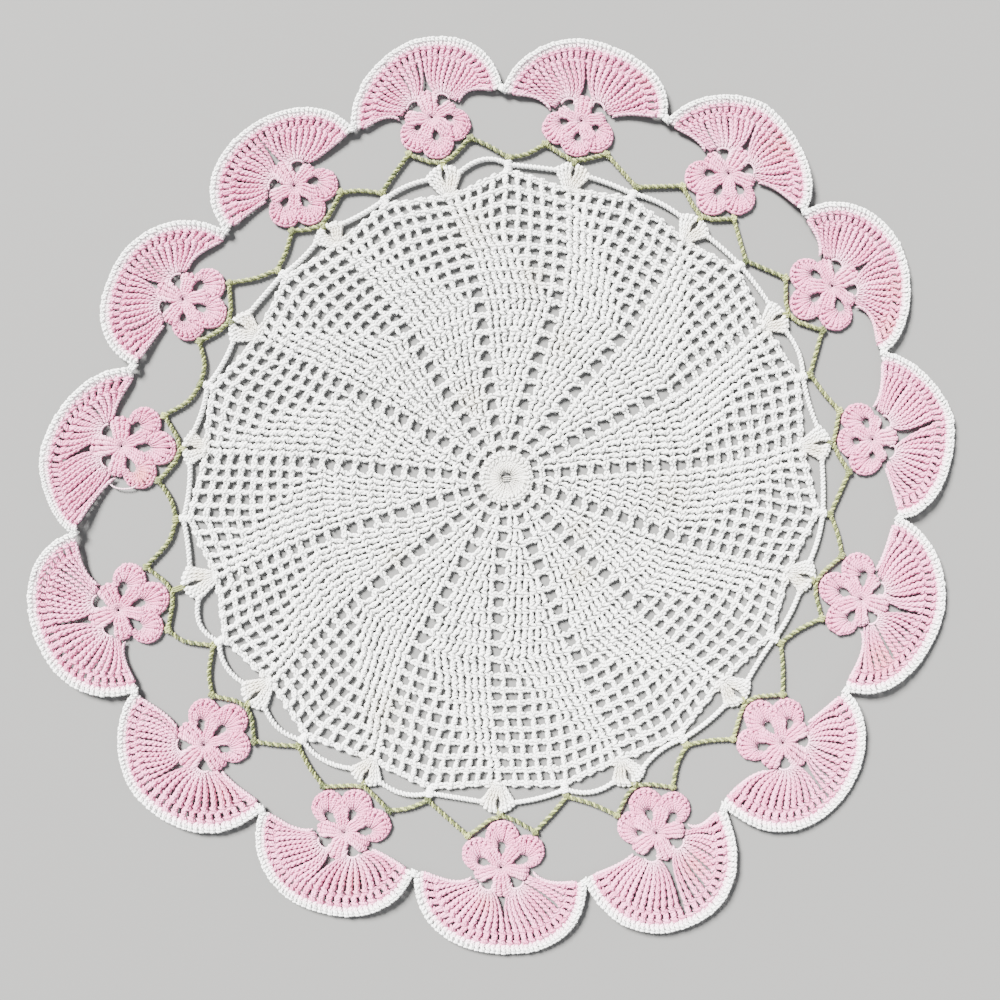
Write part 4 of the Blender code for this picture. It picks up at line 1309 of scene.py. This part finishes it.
def mixed_colour(tree, share, first, second, blend="MIX"):
    """Two colours mixed by a share."""
    sockets = {0: share, 6: first, 7: second}
    return node(tree, "ShaderNodeMix", sockets, data_type="RGBA", blend_type=blend).outputs[2]


def carried(tree, name):
    """A share that the points of the mesh carry."""
    return node(tree, "ShaderNodeAttribute", {}, attribute_name=name).outputs["Fac"]


def noise(tree, scale, detail):
    """Noise fixed to the doily."""
    where = node(tree, "ShaderNodeTexCoord", {}).outputs["Object"]
    sockets = {"Vector": where, "Scale": scale, "Detail": detail}
    return node(tree, "ShaderNodeTexNoise", sockets).outputs["Fac"]


def ply_wave(tree):
    """Wave across the plies that wind round each strand: 0 in the grooves."""
    strand = node(tree, "ShaderNodeUVMap", {}, uv_map="strand")
    parts = node(tree, "ShaderNodeSeparateXYZ", {0: strand.outputs["UV"]})
    turned_round = worked_out(tree, "MULTIPLY", parts.outputs["X"], PLIES)
    turned_along = worked_out(tree, "DIVIDE", parts.outputs["Y"], PLY_PITCH)
    return worked_out(tree, "PINGPONG", worked_out(tree, "ADD", turned_round, turned_along), 0.5)


def dyed(tree, light, dark):
    """Uneven dye: clouds, and a shade of its own for each stitch."""
    mixed = node(tree, "ShaderNodeMix", {0: TONE_SHARE, 2: noise(tree, *CLOUDS), 3: carried(tree, "tone")})
    dye = node(tree, "ShaderNodeValToRGB", {"Fac": mixed.outputs[0]})
    for end, place, colour in zip(dye.color_ramp.elements, DYE_ENDS, (dark, light)):
        end.position = place
        end.color = (*colour, 1)
    return dye.outputs["Color"]


def bump(tree, height, strength, distance, below=None):
    """Bump over the normal below it."""
    sockets = {"Height": height, "Strength": strength, "Distance": distance}
    if below is not None:
        sockets["Normal"] = below
    return node(tree, "ShaderNodeBump", sockets).outputs["Normal"]


def material(name, looks):
    """New material, and its shader with these looks."""
    made = bpy.data.materials.new(name)
    made.use_nodes = True
    shader = made.node_tree.nodes["Principled BSDF"]
    for socket, value in looks.items():
        shader.inputs[socket].default_value = value
    return made, shader


def cotton(name, light, dark, stain, pale):
    """Cotton thread: twisted plies with painted shade in their grooves, soft fuzz, uneven dye, pale places
    and age stains.
    """
    made, shader = material(name, COTTON_LOOKS)
    tree = made.node_tree
    wave = ply_wave(tree)
    # painted shade: the colour darkens in the ply grooves
    grooves = {"Value": wave, "From Max": PAINTED_GROOVE_WIDTH, "To Min": PAINTED_GROOVE_SHADE}
    shade = node(tree, "ShaderNodeMapRange", grooves).outputs[0]
    colour = dyed(tree, light, dark)
    colour = mixed_colour(tree, carried(tree, "pale"), colour, (*pale, 1))
    colour = mixed_colour(tree, carried(tree, "stain"), colour, (*stain, 1))
    # the painted groove shade multiplies the colour
    colour = mixed_colour(tree, 1.0, colour, shade, "MULTIPLY")
    tree.links.new(colour, shader.inputs["Base Color"])
    plies = bump(tree, wave, 1.0, PLY_BUMP)
    fibres = bump(tree, noise(tree, *FIBRES), FIBRE_STRENGTH, FIBRE_BUMP, plies)
    tree.links.new(fibres, shader.inputs["Normal"])
    return made


# ---- room ----
def floor():
    """Plain pale floor."""
    bpy.ops.mesh.primitive_plane_add(size=FLOOR_SIZE, location=(0, 0, -FLOOR_DROP))
    plane = bpy.context.object
    plane.name = "floor"
    plane.data.materials.append(material("pale_floor", FLOOR_LOOKS)[0])


def soft_light(name, side, softness, strength, colour):
    """Broad even light from one side."""
    light = bpy.data.lights.new(name, "SUN")
    light.angle = math.radians(softness)
    light.energy = strength
    light.color = colour
    lamp = bpy.data.objects.new(name, light)
    lamp.location = side
    lamp.rotation_euler = (-lamp.location).to_track_quat("-Z", "Y").to_euler()
    bpy.context.scene.collection.objects.link(lamp)


def studio():
    """Window light from the upper left, a weak fill and a pale sky."""
    soft_light("window", WINDOW_SIDE, WINDOW_SOFTNESS, WINDOW_STRENGTH, WINDOW_COLOUR)
    soft_light("fill", FILL_SIDE, FILL_SOFTNESS, FILL_STRENGTH, FILL_COLOUR)
    world = bpy.data.worlds.new("studio")
    world.use_nodes = True
    sky = world.node_tree.nodes["Background"]
    sky.inputs["Color"].default_value = (*SKY_COLOUR, 1)
    sky.inputs["Strength"].default_value = SKY_STRENGTH
    bpy.context.scene.world = world


def camera():
    """Straight down on the doily."""
    data = bpy.data.cameras.new("camera")
    data.lens = CAMERA_LENS
    data.sensor_width = CAMERA_SENSOR
    made = bpy.data.objects.new("camera", data)
    made.location = CAMERA_PLACE
    bpy.context.scene.collection.objects.link(made)
    bpy.context.scene.camera = made


# ---- the whole doily ----
def dress(piece, slot, *nodes):
    """The piece lies on the doily's one body in place of its solids."""
    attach(piece, "root")
    if nodes:
        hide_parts(*nodes)
    return piece


def white_pieces(white):
    """The white round: its posts, and its tops and chains as pieces of their own."""
    row_stitches = all_row_cells()
    posts = knit("white_yarn", white_posts(*row_stitches), white, white_stains)
    tops = knit("white_yarn_tops", white_tops(*row_stitches), white, white_stains)
    chains = knit("white_yarn_chains", white_chains(), white, white_stains)
    return (dress(posts, "white_cotton", "white_round"), dress(tops, "white_cotton"),
            dress(chains, "white_cotton"))


def pansy_pieces(index, pink, white):
    """One pansy with its rows and its white edging."""
    pansy = PANSIES[index]
    number = f"{index + 1:02d}"
    stain, pale = pink_stains(index + 1, pansy), pale_parts(pansy)
    petals = knit("pansy_yarn_" + number, pansy_posts(index), pink, stain, pale)
    rows = knit("pansy_rows_" + number, pansy_tops(index), pink, stain, pale)
    edging = knit("edging_yarn_" + number, edging_batches(index), white)
    return (dress(petals, "pink_cotton", "pansy_" + number), dress(rows, "pink_cotton"),
            dress(edging, "white_cotton", "edging_" + number))


def build():
    """Make every piece."""
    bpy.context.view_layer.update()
    white = cotton("white_cotton", WHITE, WHITE_SHADE, CREAM, PALE_PINK)
    pink = cotton("pink_cotton", PINK, PINK_SHADE, SALMON, PALE_PINK)
    green = cotton("green_cotton", LEAF_CREAM, OLIVE, OLIVE, LEAF_CREAM)
    posts, tops, chains = white_pieces(white)
    joining = dress(knit("green_yarn", green_chain(), green), "green_cotton", "green_round")
    for index in range(COUNT):
        petals, rows, edging = pansy_pieces(index, pink, white)
    floor()
    studio()
    camera()


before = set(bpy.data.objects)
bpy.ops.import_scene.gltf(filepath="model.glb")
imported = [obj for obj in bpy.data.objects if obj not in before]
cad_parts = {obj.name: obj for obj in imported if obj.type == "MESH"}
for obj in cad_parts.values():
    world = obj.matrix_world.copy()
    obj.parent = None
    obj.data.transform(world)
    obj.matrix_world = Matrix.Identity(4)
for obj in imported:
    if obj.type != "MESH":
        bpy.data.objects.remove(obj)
build()
